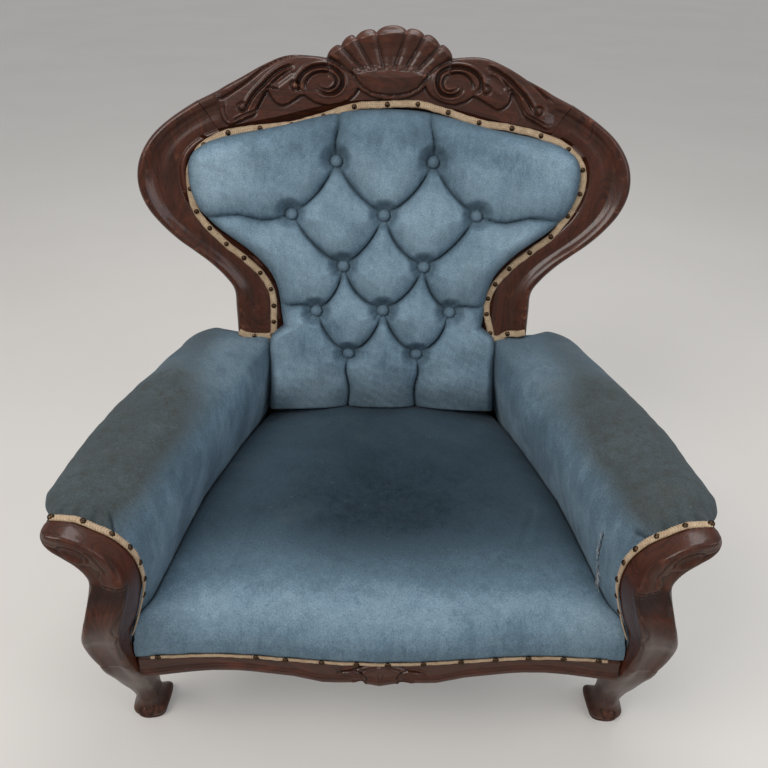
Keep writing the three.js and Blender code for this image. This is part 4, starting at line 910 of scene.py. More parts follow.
class ChairLooks(bpy.types.PropertyGroup):
    """Colours and gloss of the chair."""
    wood_dark: tint("Wood, dark figure", "Darkest lacquered mahogany", (0.02, 0.006, 0.0035))
    wood_red: tint("Wood, red figure", "Red of the lacquered mahogany", (0.1, 0.026, 0.011))
    wood_brown: tint("Wood, faded", "Brown of faded lacquer", (0.066, 0.024, 0.012))
    wood_scuff: tint("Wood, scuffed", "Bare wood at scuffed edges", (0.27, 0.1, 0.05))
    wood_gloss: bpy.props.FloatProperty(
        name="Lacquer", description="Strength of the clear lacquer", default=0.22, min=0,
        max=1, subtype="FACTOR")
    # painted highlight: the pile colour of the raised places, as if lit
    velvet_highlight: tint("Velvet, brushed light", "Pile on the pillows and edges",
                       (0.34, 0.465, 0.555))
    velvet_middle: tint("Velvet, middle", "Even pile", (0.145, 0.225, 0.29))
    # painted shade: the pile colour low in the folds
    velvet_shade: tint("Velvet, deep", "Pile low in the folds", (0.042, 0.07, 0.092))
    velvet_soil: tint("Velvet, soiled", "Grey brown of handled pile", (0.052, 0.056, 0.05))
    velvet_sat: tint("Velvet, sat on", "Dark teal grey of the flattened seat pile",
                     (0.009, 0.018, 0.026))
    velvet_sheen: bpy.props.FloatProperty(
        name="Pile sheen", description="Light edge of the pile", default=0.12, min=0, max=1,
        subtype="FACTOR")
    braid_light: tint("Braid, light", "Clean cords of the braid", (0.66, 0.5, 0.33))
    braid_dark: tint("Braid, dark", "Soiled cords of the braid", (0.42, 0.29, 0.18))


def form():
    return bpy.context.scene.chair_form


def looks():
    return bpy.context.scene.chair_looks


# how each finish is made from its name and the looks that are set
FINISHES = {
    "lacquer_across": lambda name, k: show_wood(name, k, (0.22, 1.0, 1.0)),
    "lacquer_upright": lambda name, k: show_wood(name, k, (1.0, 1.0, 0.22)),
    "back_velvet": lambda name, k: velvet(name, k, k.velvet_soil, 7.0),
    "sat_velvet": lambda name, k: velvet(name, k, k.velvet_sat, 5.0),
    "rested_velvet": lambda name, k: velvet(name, k, k.velvet_soil, 9.0),
    "braid_cord": braid_cord,
    "beech": lambda name, k: raw_wood(name),
    "jute_web": lambda name, k: woven(name, (0.32, 0.21, 0.11, 1), (0.1, 0.06, 0.03, 1), 140.0),
    "hessian": lambda name, k: woven(name, (0.27, 0.19, 0.11, 1), (0.08, 0.05, 0.03, 1), 110.0),
    "black_cambric": lambda name, k: woven(
        name, (0.02, 0.02, 0.021, 1), (0.006, 0.006, 0.007, 1), 260.0, rough=0.9),
    "bare_thread": lambda name, k: woven(
        name, (0.75, 0.74, 0.72, 1), (0.35, 0.36, 0.38, 1), 900.0, depth=0.0002),
    "spring_wire": lambda name, k: metal(
        name, (0.34, 0.3, 0.26, 1), (0.12, 0.08, 0.055, 1), 0.35),
    "nail_bronze": lambda name, k: metal(
        name, (0.13, 0.08, 0.045, 1), (0.035, 0.02, 0.013, 1), 0.3),
}


def finish_of(kind):
    """The material of that name, made the first time that a piece asks for it."""
    return bpy.data.materials.get(kind) or FINISHES[kind](kind, looks())


# Carved show-wood
def relax(a, times=2):
    """Soften a field of heights over its grid."""
    for _ in range(times):
        p = np.pad(a, 1, mode="edge")
        a = (p[:-2, 1:-1] + p[2:, 1:-1] + p[1:-1, :-2] + p[1:-1, 2:] + 4 * a) / 8
    return a


def hollow_of(h, reach=14):
    """How much lower a place lies than what is round it, 0 to 1."""
    return np.clip((relax(h, reach) - h) / 1.6, 0, 1)


def proud_of(h, reach=14):
    """How much higher a place stands than what is round it, 0 to 1."""
    return np.clip((h - relax(h, reach)) / 1.1, 0, 1)


def gouge(h, x, y, lines, share=1.0):
    """Cut tapered gouge lines, each with a small raised lip, into a field of heights."""
    for points, half, deep in lines:
        d, s = to_line(x, y, even(points, 2.5))
        taper = smooth(s / 0.14 + 0.1) * smooth((1 - s) / 0.14 + 0.1)
        cut = np.exp(-np.abs(d / half) ** 2.6)
        lip = 0.35 * np.exp(-((d - 1.9 * half) / (0.7 * half)) ** 2)
        h = h - share * deep * taper * (cut - lip)
    return h


def shell_rim(u):
    """Outer line of the scallop shell over u."""
    v = np.full(np.shape(u), -1e9)
    for a, b, c in zip(SHELL_NOTCH[:-1], SHELL_NOTCH[1:], SHELL_CROWN):
        t = (u - a[0]) / (b[0] - a[0])
        chord = a[1] + (b[1] - a[1]) * t
        tc = (c[0] - a[0]) / (b[0] - a[0])
        rise = c[1] - (a[1] + (b[1] - a[1]) * tc)
        top = np.clip(1 - np.abs((t - 0.5) / 0.5) ** 2.4, 0, 1) ** 0.8
        v = np.where((t >= 0) & (t <= 1), chord + rise * top, v)
    return v


def shell_height(u, v):
    """Flutes of the shell fanning from its bowl to its rim."""
    foot, notch = np.asarray(SHELL_FOOT, float), np.asarray(SHELL_NOTCH, float)
    low, high = np.zeros(u.shape), np.full(u.shape, len(foot) - 1.0)
    ks = np.arange(len(foot))

    def ends(s):
        return (np.interp(s, ks, foot[:, 0]), np.interp(s, ks, foot[:, 1]),
                np.interp(s, ks, notch[:, 0]), np.interp(s, ks, notch[:, 1]))

    # halving finds which flute, and where across it, each point lies
    for _ in range(16):
        s = (low + high) / 2
        fx, fy, nx, ny = ends(s)
        side = (nx - fx) * (v - fy) - (ny - fy) * (u - fx)
        high = np.where(side > 0, s, high)
        low = np.where(side > 0, low, s)
    s = (low + high) / 2
    fx, fy, nx, ny = ends(s)
    k = ((u - fx) * (nx - fx) + (v - fy) * (ny - fy)) / ((nx - fx) ** 2 + (ny - fy) ** 2)
    round_top = np.sqrt(np.clip(np.sin(math.pi * (s % 1.0)), 0, 1))
    flute = along(FLUTE_BASE, k) + FLUTE_PROUD * round_top * along(FLUTE_SHARE, k) - FLUTE_SUNK
    from_foot, _ = to_line(u, v, foot)
    from_edge, _ = to_line(u, v, SHELL_EDGE)
    bowl = along(SHELL_BOWL, from_foot / np.maximum(from_foot + from_edge, 1e-6))
    return np.where(k > 0, flute, bowl)


def leaf_field(h, u, v, step, top, share):
    """Raise the leaf between its stepped foot and its top line, and the plain edge above."""
    between = top[-2:0:-1] if step[0] == top[0] else top[1:-1]
    d = depth_in(u, v, step + between)
    swell = LEAF_PROUD + LEAF_SWELL * np.clip(d / 18, 0, 1)
    h = h + smooth((d + 0.8) / 1.6) * (swell - LEAF_DIP * np.exp(-np.clip(d, 0, None) / 2.2))
    ridge = sorted(top)
    over = (u > ridge[0][0]) & (u < ridge[-1][0]) & (v > along(ridge, u))
    h = np.where(over, np.maximum(h, TOP_BAND_HEIGHT), h)
    gap, _ = to_line(u, v, even(top, 3))
    h = h - share * 3.2 * np.exp(-np.abs(gap / 2.0) ** 2.4)
    gap, _ = to_line(u, v, even(step, 3))
    return h - share * 1.2 * np.exp(-np.abs((gap - 2.2) / 1.3) ** 2) * (d < 0)


def crest_heights(u, v, edge_gap, t):
    """Heights of the carved crest above the plane of the back."""
    share = form().carving
    h = np.full(u.shape, CREST_GROUND)
    h = leaf_field(h, u, v, STEP_LEFT, TOP_LEFT, share)
    h = leaf_field(h, u, v, STEP_RIGHT, TOP_RIGHT, share)
    h = gouge(h, u, v, GOUGES, share)
    for bu, bv, r in BEADS:
        d = np.hypot(u - bu, v - bv)
        h = h - share * 3 * np.exp(-((d - r - 1.5) / 1.6) ** 2)
        ball = BEAD_FOOT + np.sqrt(np.clip(r * r - d * d, 0, None))
        h = np.where(d < r, np.maximum(h, ball), h)
    shelf = SHELL_RIM + [p for p in SHELL_EDGE[::-1] if -52 < p[0] < 68]
    h = np.where(depth_in(u, v, shelf) > 0, SHELF_HEIGHT, h)
    across = np.linspace(SHELL_RIGHT - 0.1, SHELL_LEFT + 0.1, 130)
    rim = list(zip(across, shell_rim(across)))
    d = depth_in(u, v, SHELL_EDGE + rim)
    h = mix(h, shell_height(u, v), smooth((d + 0.5) / 1.5))
    profile = along(STILE_SHAPE, np.clip(t, 0, 1))
    h = mix(h, profile, smooth((np.abs(u) - STILE_JOIN) / STILE_JOIN_FADE))
    roll = np.clip(EDGE_ROUND - edge_gap, 0, EDGE_ROUND)
    return h - (EDGE_ROUND - np.sqrt(EDGE_ROUND ** 2 - roll * roll)) * 0.8


def cross_band(rows, t_values, height):
    """Rings of a show-wood band from its wood edge outwards; height gives w from u, v, t."""
    inner, outer = rows[:, :2], rows[:, 2:4]
    way = outer - inner
    wide = np.linalg.norm(way, axis=1, keepdims=True)
    under = inner - way / wide * GIMP_WIDE
    u = inner[:, :1] + way[:, :1] * t_values
    v = inner[:, 1:2] + way[:, 1:2] * t_values
    w = height(u, v, wide * (1 - t_values), np.broadcast_to(t_values, u.shape))
    pieces = [(under[:, :1], under[:, 1:2], np.full_like(wide, BACK_FACE)),
              (under[:, :1], under[:, 1:2], np.full_like(wide, FRONT_FLAT)),
              (inner[:, :1], inner[:, 1:2], np.full_like(wide, FRONT_FLAT)), (u, v, w)]
    for share, depth in BAND_REAR:
        p = inner + way * share
        pieces.append((p[:, :1], p[:, 1:2], np.full_like(wide, depth)))
    us, vs, ws = (np.concatenate([p[k] for p in pieces], 1) for k in range(3))
    first, end = 3, 3 + u.shape[1]
    hollow = np.zeros(us.shape)
    worn = np.zeros(us.shape)
    # painted shade in the low places of the carving
    hollow[:, first:end] = hollow_of(w)
    worn[:, first:end] = proud_of(w) * 0.8
    worn[:, end - 3: end + 2] = np.maximum(worn[:, end - 3: end + 2], 0.45)
    return on_back(us, vs, ws), hollow, worn


def make_crest():
    """Crest rail: both halves in one length, with the shell standing over its top edge."""
    half = np.asarray(CREST, float)
    left = half * [-1, 1, -1, 1]
    rows = through(np.concatenate([left, half[-2::-1]]), 461)
    shell = (rows[:, 2] > SHELL_LEFT) & (rows[:, 2] < SHELL_RIGHT)
    rows[:, 3] = np.where(shell, np.maximum(rows[:, 3], shell_rim(rows[:, 2])), rows[:, 3])
    t = np.linspace(0, 1, 96)[None, :] ** 0.96
    points, hollow, worn = cross_band(
        rows, t, lambda u, v, gap, t: relax(crest_heights(u, v, gap, t), 1))
    crest = surface("carved_crest", points, hollow=hollow, worn=worn)
    return dress(crest, "lacquer_across", "show_wood", "crest_rail")


def make_stile(side, label):
    """Show-wood stile of the back, its foot run down into the arm pad."""
    rows = through([(181, -5, 250, 5), *BAND[1:]], 300)
    rows[-1] = mix(rows[-1], rows[-2], min(0.6 / np.linalg.norm(rows[-1, :2] - rows[-2, :2]), 1))
    rows = rows * [side, 1, side, 1]
    t = np.linspace(0, 1, 34)[None, :]
    points, hollow, worn = cross_band(
        rows, t, lambda u, v, gap, t: along(STILE_SHAPE, t)
        + 0.25 * noise(np.stack([u, v], -1), 60, 3))
    scuffed = worn + 0.35 * np.clip(noise(points, 40, 5), 0, 1)
    name = "back_stile_" + label
    stile = surface(name, points, hollow=hollow, worn=scuffed)
    return dress(stile, "lacquer_upright", "show_wood", "stile_" + label)


def post_rings():
    """Rings of the arm post and front leg, and how far each place faces forward."""
    rows = through(POST, 210)
    ring = ring_through(POST_SECTION, POST_RING_COUNT)
    s, d = ring[:, 0], ring[:, 1]
    out_x, out_z, in_x, in_z, front, rear, step = (rows[:, k:k + 1] for k in range(7))
    across = (s + 1) / 2
    x = mix(out_x, in_x, across) - step * np.maximum(s, 0) * np.maximum(d + 0.5, 0) / 1.5
    z = mix(out_z, in_z, across)
    y = (front + rear) / 2 + d * (rear - front) / 2
    post = np.stack([x, y, z], -1)
    # the first rings close in a rounded nose
    nose = np.clip(np.arange(len(post)) / 11, 0, 1)
    nose = np.sqrt(1 - (1 - nose) ** 2)[:, None, None]
    post = mix(post.mean(1, keepdims=True), post, nose)
    rows = through(LEG, 150)
    foot_ring = ring_through(LEG_SECTION, POST_RING_COUNT)
    turn = smooth((LEG_TOP - rows[:, 2:3]) / LEG_TURN)[..., None]
    both_rings = mix(ring[None], foot_ring[None], turn)
    leg = np.stack([rows[:, 0:1] - both_rings[..., 0] * rows[:, 3:4],
                    rows[:, 1:2] + both_rings[..., 1] * rows[:, 4:5],
                    np.broadcast_to(rows[:, 2:3], both_rings.shape[:2])], -1)
    face = np.concatenate([np.broadcast_to(smooth((-d - 0.55) / 0.3), post.shape[:2]),
                           smooth((-both_rings[..., 1] - 0.5) / 0.3)])
    corners = np.exp(-((np.abs(s) - 0.8) / 0.14) ** 2) * (d < -0.5)
    return np.concatenate([post, leg]), face, corners


def post_carving(x, z):
    """Relief of the leaf, its gouges, the arrises of the post and the toe."""
    share = form().carving
    d = depth_in(x, z, LEAF_EDGE)
    proud = 4.2 + 2.2 * smooth((462 - z) / 22)
    h = share * smooth((d + 0.5) / 1.6) * (proud - 1.4 * np.exp(-np.clip(d, 0, None) / 2))
    h = gouge(h, x, z, LEAF_GOUGES, share)
    almond, _ = to_line(x, z, LEAF_HOLLOW)
    h -= share * 3.2 * np.exp(-(almond / 5.5) ** 2)
    return gouge(h, x, z, POST_GOUGES + TOE_GOUGES, share)


def make_post(side, label):
    """Arm post and front leg in one length of wood, with its leaf and its scroll toe."""
    body, face, corners = post_rings()
    x, z = body[..., 0], body[..., 2]
    h = post_carving(x, z)
    body[..., 1] -= h * face
    # painted shade in the carving's low places, and a painted shadow under the step of the leaf
    hollow = np.clip(hollow_of(h, 8) * face, 0, 1)
    shadow_below_leaf = np.where(z < 437, smooth((437 - z) / 8) * smooth((z - 396) / 24), 0)
    hollow = np.maximum(hollow, 0.8 * shadow_below_leaf * face)
    worn = np.clip(proud_of(h, 8), 0, 1) * face
    worn = np.maximum(worn, 0.4 * np.broadcast_to(corners, worn.shape))
    arris, _ = to_line(x, z, POST_ARRIS_IN)
    worn = np.maximum(worn * 0.6, 1.3 * np.exp(-(arris / 1.3) ** 2) * face)
    worn = np.maximum(worn, 0.5 * smooth((40 - z) / 30))
    body[..., 0] *= side
    piece = surface("arm_post_" + label, body, hollow=hollow, worn=worn)
    return dress(piece, "lacquer_upright", "show_wood", "front_post_" + label)


def stile_foot(x, y):
    """Height of the stile's foot over a place of the plan, where the rear leg ends."""
    way = np.array([BAND[0][2] - BAND[0][0], BAND[0][3] - BAND[0][1]], float)
    start = np.array(BAND[0][:2], float)
    v = start[1] + (x - start[0]) / way[0] * way[1]
    d = (BACK_LINE_Y + v * math.sin(RECLINE) - y) / math.cos(RECLINE)
    return BACK_LINE_Z + v * math.cos(RECLINE) + d * math.sin(RECLINE)


def make_rear_leg(side, label):
    """Raked rear leg with chamfered corners, cut off against the foot of its stile."""
    rows = through(REAR_LEG, 130)
    ring = ring_through(REAR_LEG_SECTION, 56)
    x = rows[:, 0:1] + ring[None, :, 0] * rows[:, 3:4]
    y = rows[:, 1:2] + ring[None, :, 1] * rows[:, 4:5]
    z = np.broadcast_to(rows[:, 2:3], x.shape).copy()
    top = stile_foot(x[-1], y[-1]) - 0.3
    z += (top - REAR_LEG[-1][2])[None, :] * smooth((z - 440) / 52)
    body = np.stack([side * x, y, z], -1)
    worn = 0.5 * smooth((60 - z) / 50) + 0.3 * np.clip(noise(body, 70, 9), 0, 1)
    name = "raked_leg_" + label
    piece = surface(name, body, hollow=np.zeros(z.shape), worn=worn)
    return dress(piece, "lacquer_upright", "show_wood", "rear_leg_" + label)


def make_front_rail():
    """Front rail with its bead, its bottom moulding and the small carving in its middle."""
    x = np.linspace(-FRONT_HALF_LONG, FRONT_HALF_LONG, 400)[:, None]
    level = 0 * x
    a = np.abs(x)
    y, foot = along(FRONT_LINE, a), along(FRONT_FOOT, a)
    z = foot + 3 + (260 - foot - 3) * np.linspace(1, 0, 44)[None, :]
    dip = np.interp(z - foot, [0, 3, 10, 16, 40], [-3, -3, -4, -1, 0])
    h = 0.7 * np.exp(-((z - foot - 5) / 4) ** 2)
    h = h - form().carving * 0.7 * np.exp(-np.abs((z - foot - 11.5) / 1.3) ** 2)
    xx = np.broadcast_to(x, z.shape)
    h = h + 2.6 * smooth((depth_in(xx, z, RAIL_SHELL) + 0.8) / 2.5)
    h = gouge(h, xx, z, RAIL_GOUGES, form().carving)
    face_y = y + dip - h * smooth((FRONT_HALF_LONG - np.abs(xx)) / 8)
    top = [(x, y + 3, FRONT_TOP + level), (x, y, 261.5 + level)]
    rear = [(x, y + 2, foot), (x, y + 9, foot + 1), (x, y + 11, FRONT_BOTTOM + level),
            (x, y + 26, FRONT_BOTTOM + level), (x, y + 26, FRONT_TOP + level)]

    def strip(parts):
        return np.stack([np.concatenate([np.broadcast_to(p[k], x.shape) for p in parts], 1)
                         for k in range(3)], -1)

    points = np.concatenate([strip(top), np.stack([xx, face_y, z], -1), strip(rear)], 1)
    hollow, worn = np.zeros(points.shape[:2]), np.zeros(points.shape[:2])
    # painted shade in the low places of the carving
    hollow[:, 2:-5] = hollow_of(h, 8)
    worn[:, 2:-5] = proud_of(h, 8) * 0.8
    worn[:, -8:-4] = 0.15
    rail = surface("carved_front_rail", points, hollow=hollow, worn=worn)
    return dress(rail, "lacquer_across", "show_wood", "front_rail")


# Padding and cloth
def wood_edge(rows):
    """Line where the pad meets the wood, under the braid."""
    rows = np.asarray(rows, float)
    way = rows[:, 2:4] - rows[:, :2]
    return rows[:, :2] - way / np.linalg.norm(way, axis=1, keepdims=True) * GIMP_WIDE


BRAID_STEP = 0.9
SIDE_EDGE = wood_edge(through(BAND, 29))
PAD_CORNER_V = SIDE_EDGE[24, 1] - 2
PAD_SIDE = np.concatenate([
    [(PAD_FOOT, 205), (-138, 203), (-100, 199), (-60, 198), (-24, 197.5), (-6, 195),
     (1, 193), (6, 188)],
    np.stack([SIDE_EDGE[1:25, 1], SIDE_EDGE[1:25, 0] - 1], 1)])
PAD_SIDE[-1, 0] = PAD_CORNER_V
TOP_EDGE = np.concatenate([SIDE_EDGE[24:], wood_edge(through(CREST, 17))[1:]])
PAD_TOP = np.stack([np.maximum(TOP_EDGE[:, 0], 0), TOP_EDGE[:, 1] - 2], 1)[::-1]


def fold_lines():
    """Tucks between the buttons: bowed lines and their strength at both ends."""
    lines = []
    rng = np.random.default_rng(11)
    for a, b in BUTTON_PAIRS:
        p, q = np.array(BUTTONS[a], float), np.array(BUTTONS[b], float)
        across = np.array([-(q - p)[1], (q - p)[0]]) / np.linalg.norm(q - p)
        across *= -np.sign(across[1])
        bow = rng.uniform(8, 13)
        line = [p, mix(p, q, 0.25) + across * bow * 0.7, mix(p, q, 0.5) + across * bow,
                mix(p, q, 0.76) + across * bow * 0.72, q]
        lines.append((through(line, 9), 1.0, 1.0))
    for side in (-1, 1):
        for line, far in EDGE_FOLDS:
            lines.append((through(np.asarray(line, float) * [side, 1], 9), 1.0, far))
    return lines


def button_dimple(w, u, v, bu, bv):
    """Draw the pad down round one button, with small pleats running off it."""
    d = np.hypot(u - bu, v - bv)
    angle = np.arctan2(v - bv, u - bu)
    pleats = np.sin(angle * 9 + bu) * np.exp(-((d - 18) / 8) ** 2) * 0.8
    for side in (-1, 1):
        for lean, far in BUTTON_PLEATS:
            way = np.array([side * math.cos(lean), math.sin(lean)])
            across, s = to_line(u, v, [(bu + way[0] * 10, bv + way[1] * 10),
                                       (bu + way[0] * far, bv + way[1] * far + 3)])
            pleats = pleats - 2.0 * np.exp(-(across / 1.7) ** 2) * (1 - s)
    return mix(np.minimum(w, 6.5), w, smooth((d - 8) / 21)) + pleats


def pad_heights(u, v, gap):
    """Height of the buttoned back, and how deep in a fold each place lies."""
    puff, crease = form().pillow * MM_PER_M, form().crease * MM_PER_M
    low = np.zeros(u.shape)
    tuck = np.zeros(u.shape)
    for line, first, last in fold_lines():
        d, s = to_line(u, v, line)
        strength = mix(first, last, smooth(s))
        f = np.clip(d / 44, 0, 1)
        low = np.maximum(low, strength * (1 - np.sqrt(1 - (1 - f) ** 2)))
        tuck = np.maximum(tuck, strength * np.exp(-np.abs(d / 2.4) ** 1.4))
    w = 12 + puff * (1 - low ** 0.92) - crease * tuck
    p = np.stack([u, v], -1)
    w = w + 1.3 * noise(p, 70, 21) * (1 - low) + 0.45 * noise(p, 24, 22)
    # the lower corners swell out over the ends of the arms
    w = w + 17 * smooth((np.abs(u) - 45) / 150) * smooth((-30 - v) / 90)
    for bu, bv in BUTTONS:
        w = button_dimple(w, u, v, bu, bv)
    e = np.clip(gap / mix(17, 40, smooth((v + 8) / 60)), 0, 1)
    rise = np.sqrt(1 - (1 - e) ** 2)
    return mix(-3, w, rise), np.clip(tuck * rise, 0, 1)


CLOTH_QUALITY, CLOTH_PRESSURE, CLOTH_STEPS = 2, 3, 8


def settle(piece, limit):
    """Let the cover settle as cloth under its filling, held where its points are tacked."""
    held = piece.data.attributes["tacked"]
    weights = np.empty(len(held.data), np.float32)
    held.data.foreach_get("value", weights)
    piece.data.attributes.remove(held)
    if limit <= 0:
        return
    start = points_of(piece)
    only(piece)
    group = piece.vertex_groups.new(name="tacked")
    for weight in np.unique(np.round(weights, 1)):
        if weight > 0:
            near = np.flatnonzero(np.round(weights, 1) == weight)
            group.add(near.tolist(), float(min(weight, 1)), "REPLACE")
    cloth = piece.modifiers.new("settle", "CLOTH")
    c = cloth.settings
    c.quality = CLOTH_QUALITY
    c.mass = 0.25
    c.tension_stiffness = c.compression_stiffness = 14
    c.shear_stiffness = 5
    c.bending_stiffness = 0.3
    c.vertex_group_mass = "tacked"
    c.use_pressure = True
    c.uniform_pressure_force = CLOTH_PRESSURE
    c.effector_weights.gravity = 0
    cloth.collision_settings.use_collision = False
    scene = bpy.context.scene
    for step in range(1, CLOTH_STEPS + 1):
        scene.frame_set(step)
    shown = piece.evaluated_get(bpy.context.evaluated_depsgraph_get())
    end = np.empty(len(shown.data.vertices) * 3)
    shown.data.vertices.foreach_get("co", end)
    piece.modifiers.remove(cloth)
    piece.vertex_groups.remove(group)
    scene.frame_set(1)
    move = np.nan_to_num(end.reshape(-1, 3) - start)
    far = np.linalg.norm(move, axis=1, keepdims=True)
    move *= np.minimum(1, limit / np.maximum(far, 1e-9))
    lay_points(piece, start + move)


def make_back_pad():
    """Buttoned back: its face from the fold lines, its rear flat against the hessian."""
    cols, rows = 330, 250
    a = np.linspace(-1, 1, cols)[None, :]
    b = np.linspace(0, 1, rows)[:, None]
    v0 = mix(PAD_FOOT, PAD_CORNER_V, b)
    half = along(PAD_SIDE, v0)
    u = a * half
    edge_top = along(PAD_TOP, np.abs(u))
    v = v0 + (edge_top - PAD_CORNER_V) * smooth((v0 - 120) / (PAD_CORNER_V - 120))
    gap = np.minimum(np.minimum(half - np.abs(u), edge_top - v), (v - PAD_FOOT) * 1.6 + 4)
    gap = np.maximum(gap, 0)
    w, tuck = pad_heights(u, v, gap)
    rear = on_back(u[:, ::-1][:, ::24], v[:, ::-1][:, ::24], -20.0)
    blank = np.zeros(rear.shape[:2])
    plan = np.stack([u, v], -1)
    # painted light on the pillows and the wrapped sides, painted shade towards the top, in the
    # folds and at the edge
    high = np.clip((w - 14) / 26, 0, 1)
    tone = noise(plan, 120, 31) * 0.5 + 0.5
    light = np.clip(0.38 + high * (0.28 + 0.38 * tone), 0, 1)
    light = light * (1 - 0.45 * smooth((v - 270) / 90))
    light = np.clip(light + 0.25 * smooth((np.abs(u) - 170) / 110) * high, 0, 1)
    # painted shade: the tucked lines of the folds and the edge against the wood are darkened
    dark = np.clip(0.6 * tuck ** 2 + np.exp(-gap / 5) * 0.5, 0, 1)
    handled = 0.35 * smooth((-60 - v) / 60) + 0.12 * np.clip(noise(plan, 80, 33), 0, 1)
    # painted shade is also laid evenly at half strength on the hidden rear
    pad = surface("buttoned_back", np.concatenate([on_back(u, v, w), rear], 1),
                  crown=np.concatenate([light, blank], 1),
                  hollow=np.concatenate([dark, blank + 0.5], 1),
                  soil=np.concatenate([handled, blank], 1))
    dress(pad, "back_velvet", "velvet", "back_pad")
    return pad


def arm_foot(y):
    """Foot of the arm's inner side, over the depth y."""
    return along(ARM_FOOT, y)


def arm_rail_inner(y):
    """Inner face of the arm rail, which runs in towards the back."""
    return mix(349, 212, (y - ARM_FRONT) / ARM_RAIL_RUN)


def hessian_top(x, y):
    """Crown of the hessian that is stretched over the springs."""
    a = np.abs(x) / (arm_foot(y) - 8)
    b = np.abs((y - 262) / 226)
    return 266.3 + 44 * np.clip((1 - a ** 3.2) * (1 - b ** 3.6), 0, None)


def arm_section(y):
    """Ring of the arm pad at a depth y, from the foot of its inner side over its top."""
    t = float(smooth((y - 21) / 55))
    foot = float(arm_foot(y))
    outer, top, lean = (float(along(table, y)) for table in (ARM_OUTER, ARM_TOP, ARM_LEAN))
    rail_in = float(arm_rail_inner(y))
    rail_out = rail_in + ARM_RAIL_WIDE
    # the rear of the arm is squarer
    r = float(smooth((y - 340) / 130))
    full = [(foot + 3, 268), (foot + 1, 300), (foot, 322), (mix(foot, lean, .3), 352),
            (mix(foot, lean, .62), 382), (mix(foot, lean, .85), 410), (lean, top - 78),
            (lean + 3 - 2 * r, top - 50 + 20 * r), (lean + 17 - 10 * r, top - 22 + 15 * r),
            (mix(lean, outer, .36), top - 4 + 3 * r), (mix(lean, outer, .66), top),
            (outer - 14, top - 15)]
    line = [(mix(p[0], q[0], t), mix(p[1], q[1], t)) for p, q in zip(ARM_OUTLINE, full)]
    tail = [(mix(413, outer, t), mix(500, top - 34, t)),
            (mix(405, outer - 8, t), mix(487, top - 54, t)),
            (mix(398, outer - 24, t), mix(478, top - 58, t)),
            (rail_out + 3, mix(472, 440, t)), (rail_out + 1.5, 467.5), (rail_in - 1.5, 467.5),
            (rail_in - 1.5, 438), (line[5][0] + 20, 410), (line[3][0] + 17, 352),
            (line[1][0] + 14, 300), (line[0][0] + 13, 268)]
    return line, tail


ARM_SHOWN = 118


def section_ring(y):
    """Points round the arm pad: close together where it is seen, few underneath."""
    line, tail = arm_section(y)
    shown = even(line + tail[:2], 1.0)
    shown = pick(np.linspace(0, len(shown) - 1, ARM_SHOWN), np.arange(len(shown)), shown)
    under = np.concatenate([np.linspace(p, q, 4, endpoint=False)
                            for p, q in zip(tail[2:-1], tail[3:])])
    return np.concatenate([shown, under, [tail[-1]]])


ARM_PLEAT = {-1: [(12, 331), (30, 338), (50, 346)], 1: [(12, 338), (30, 331), (48, 320)]}


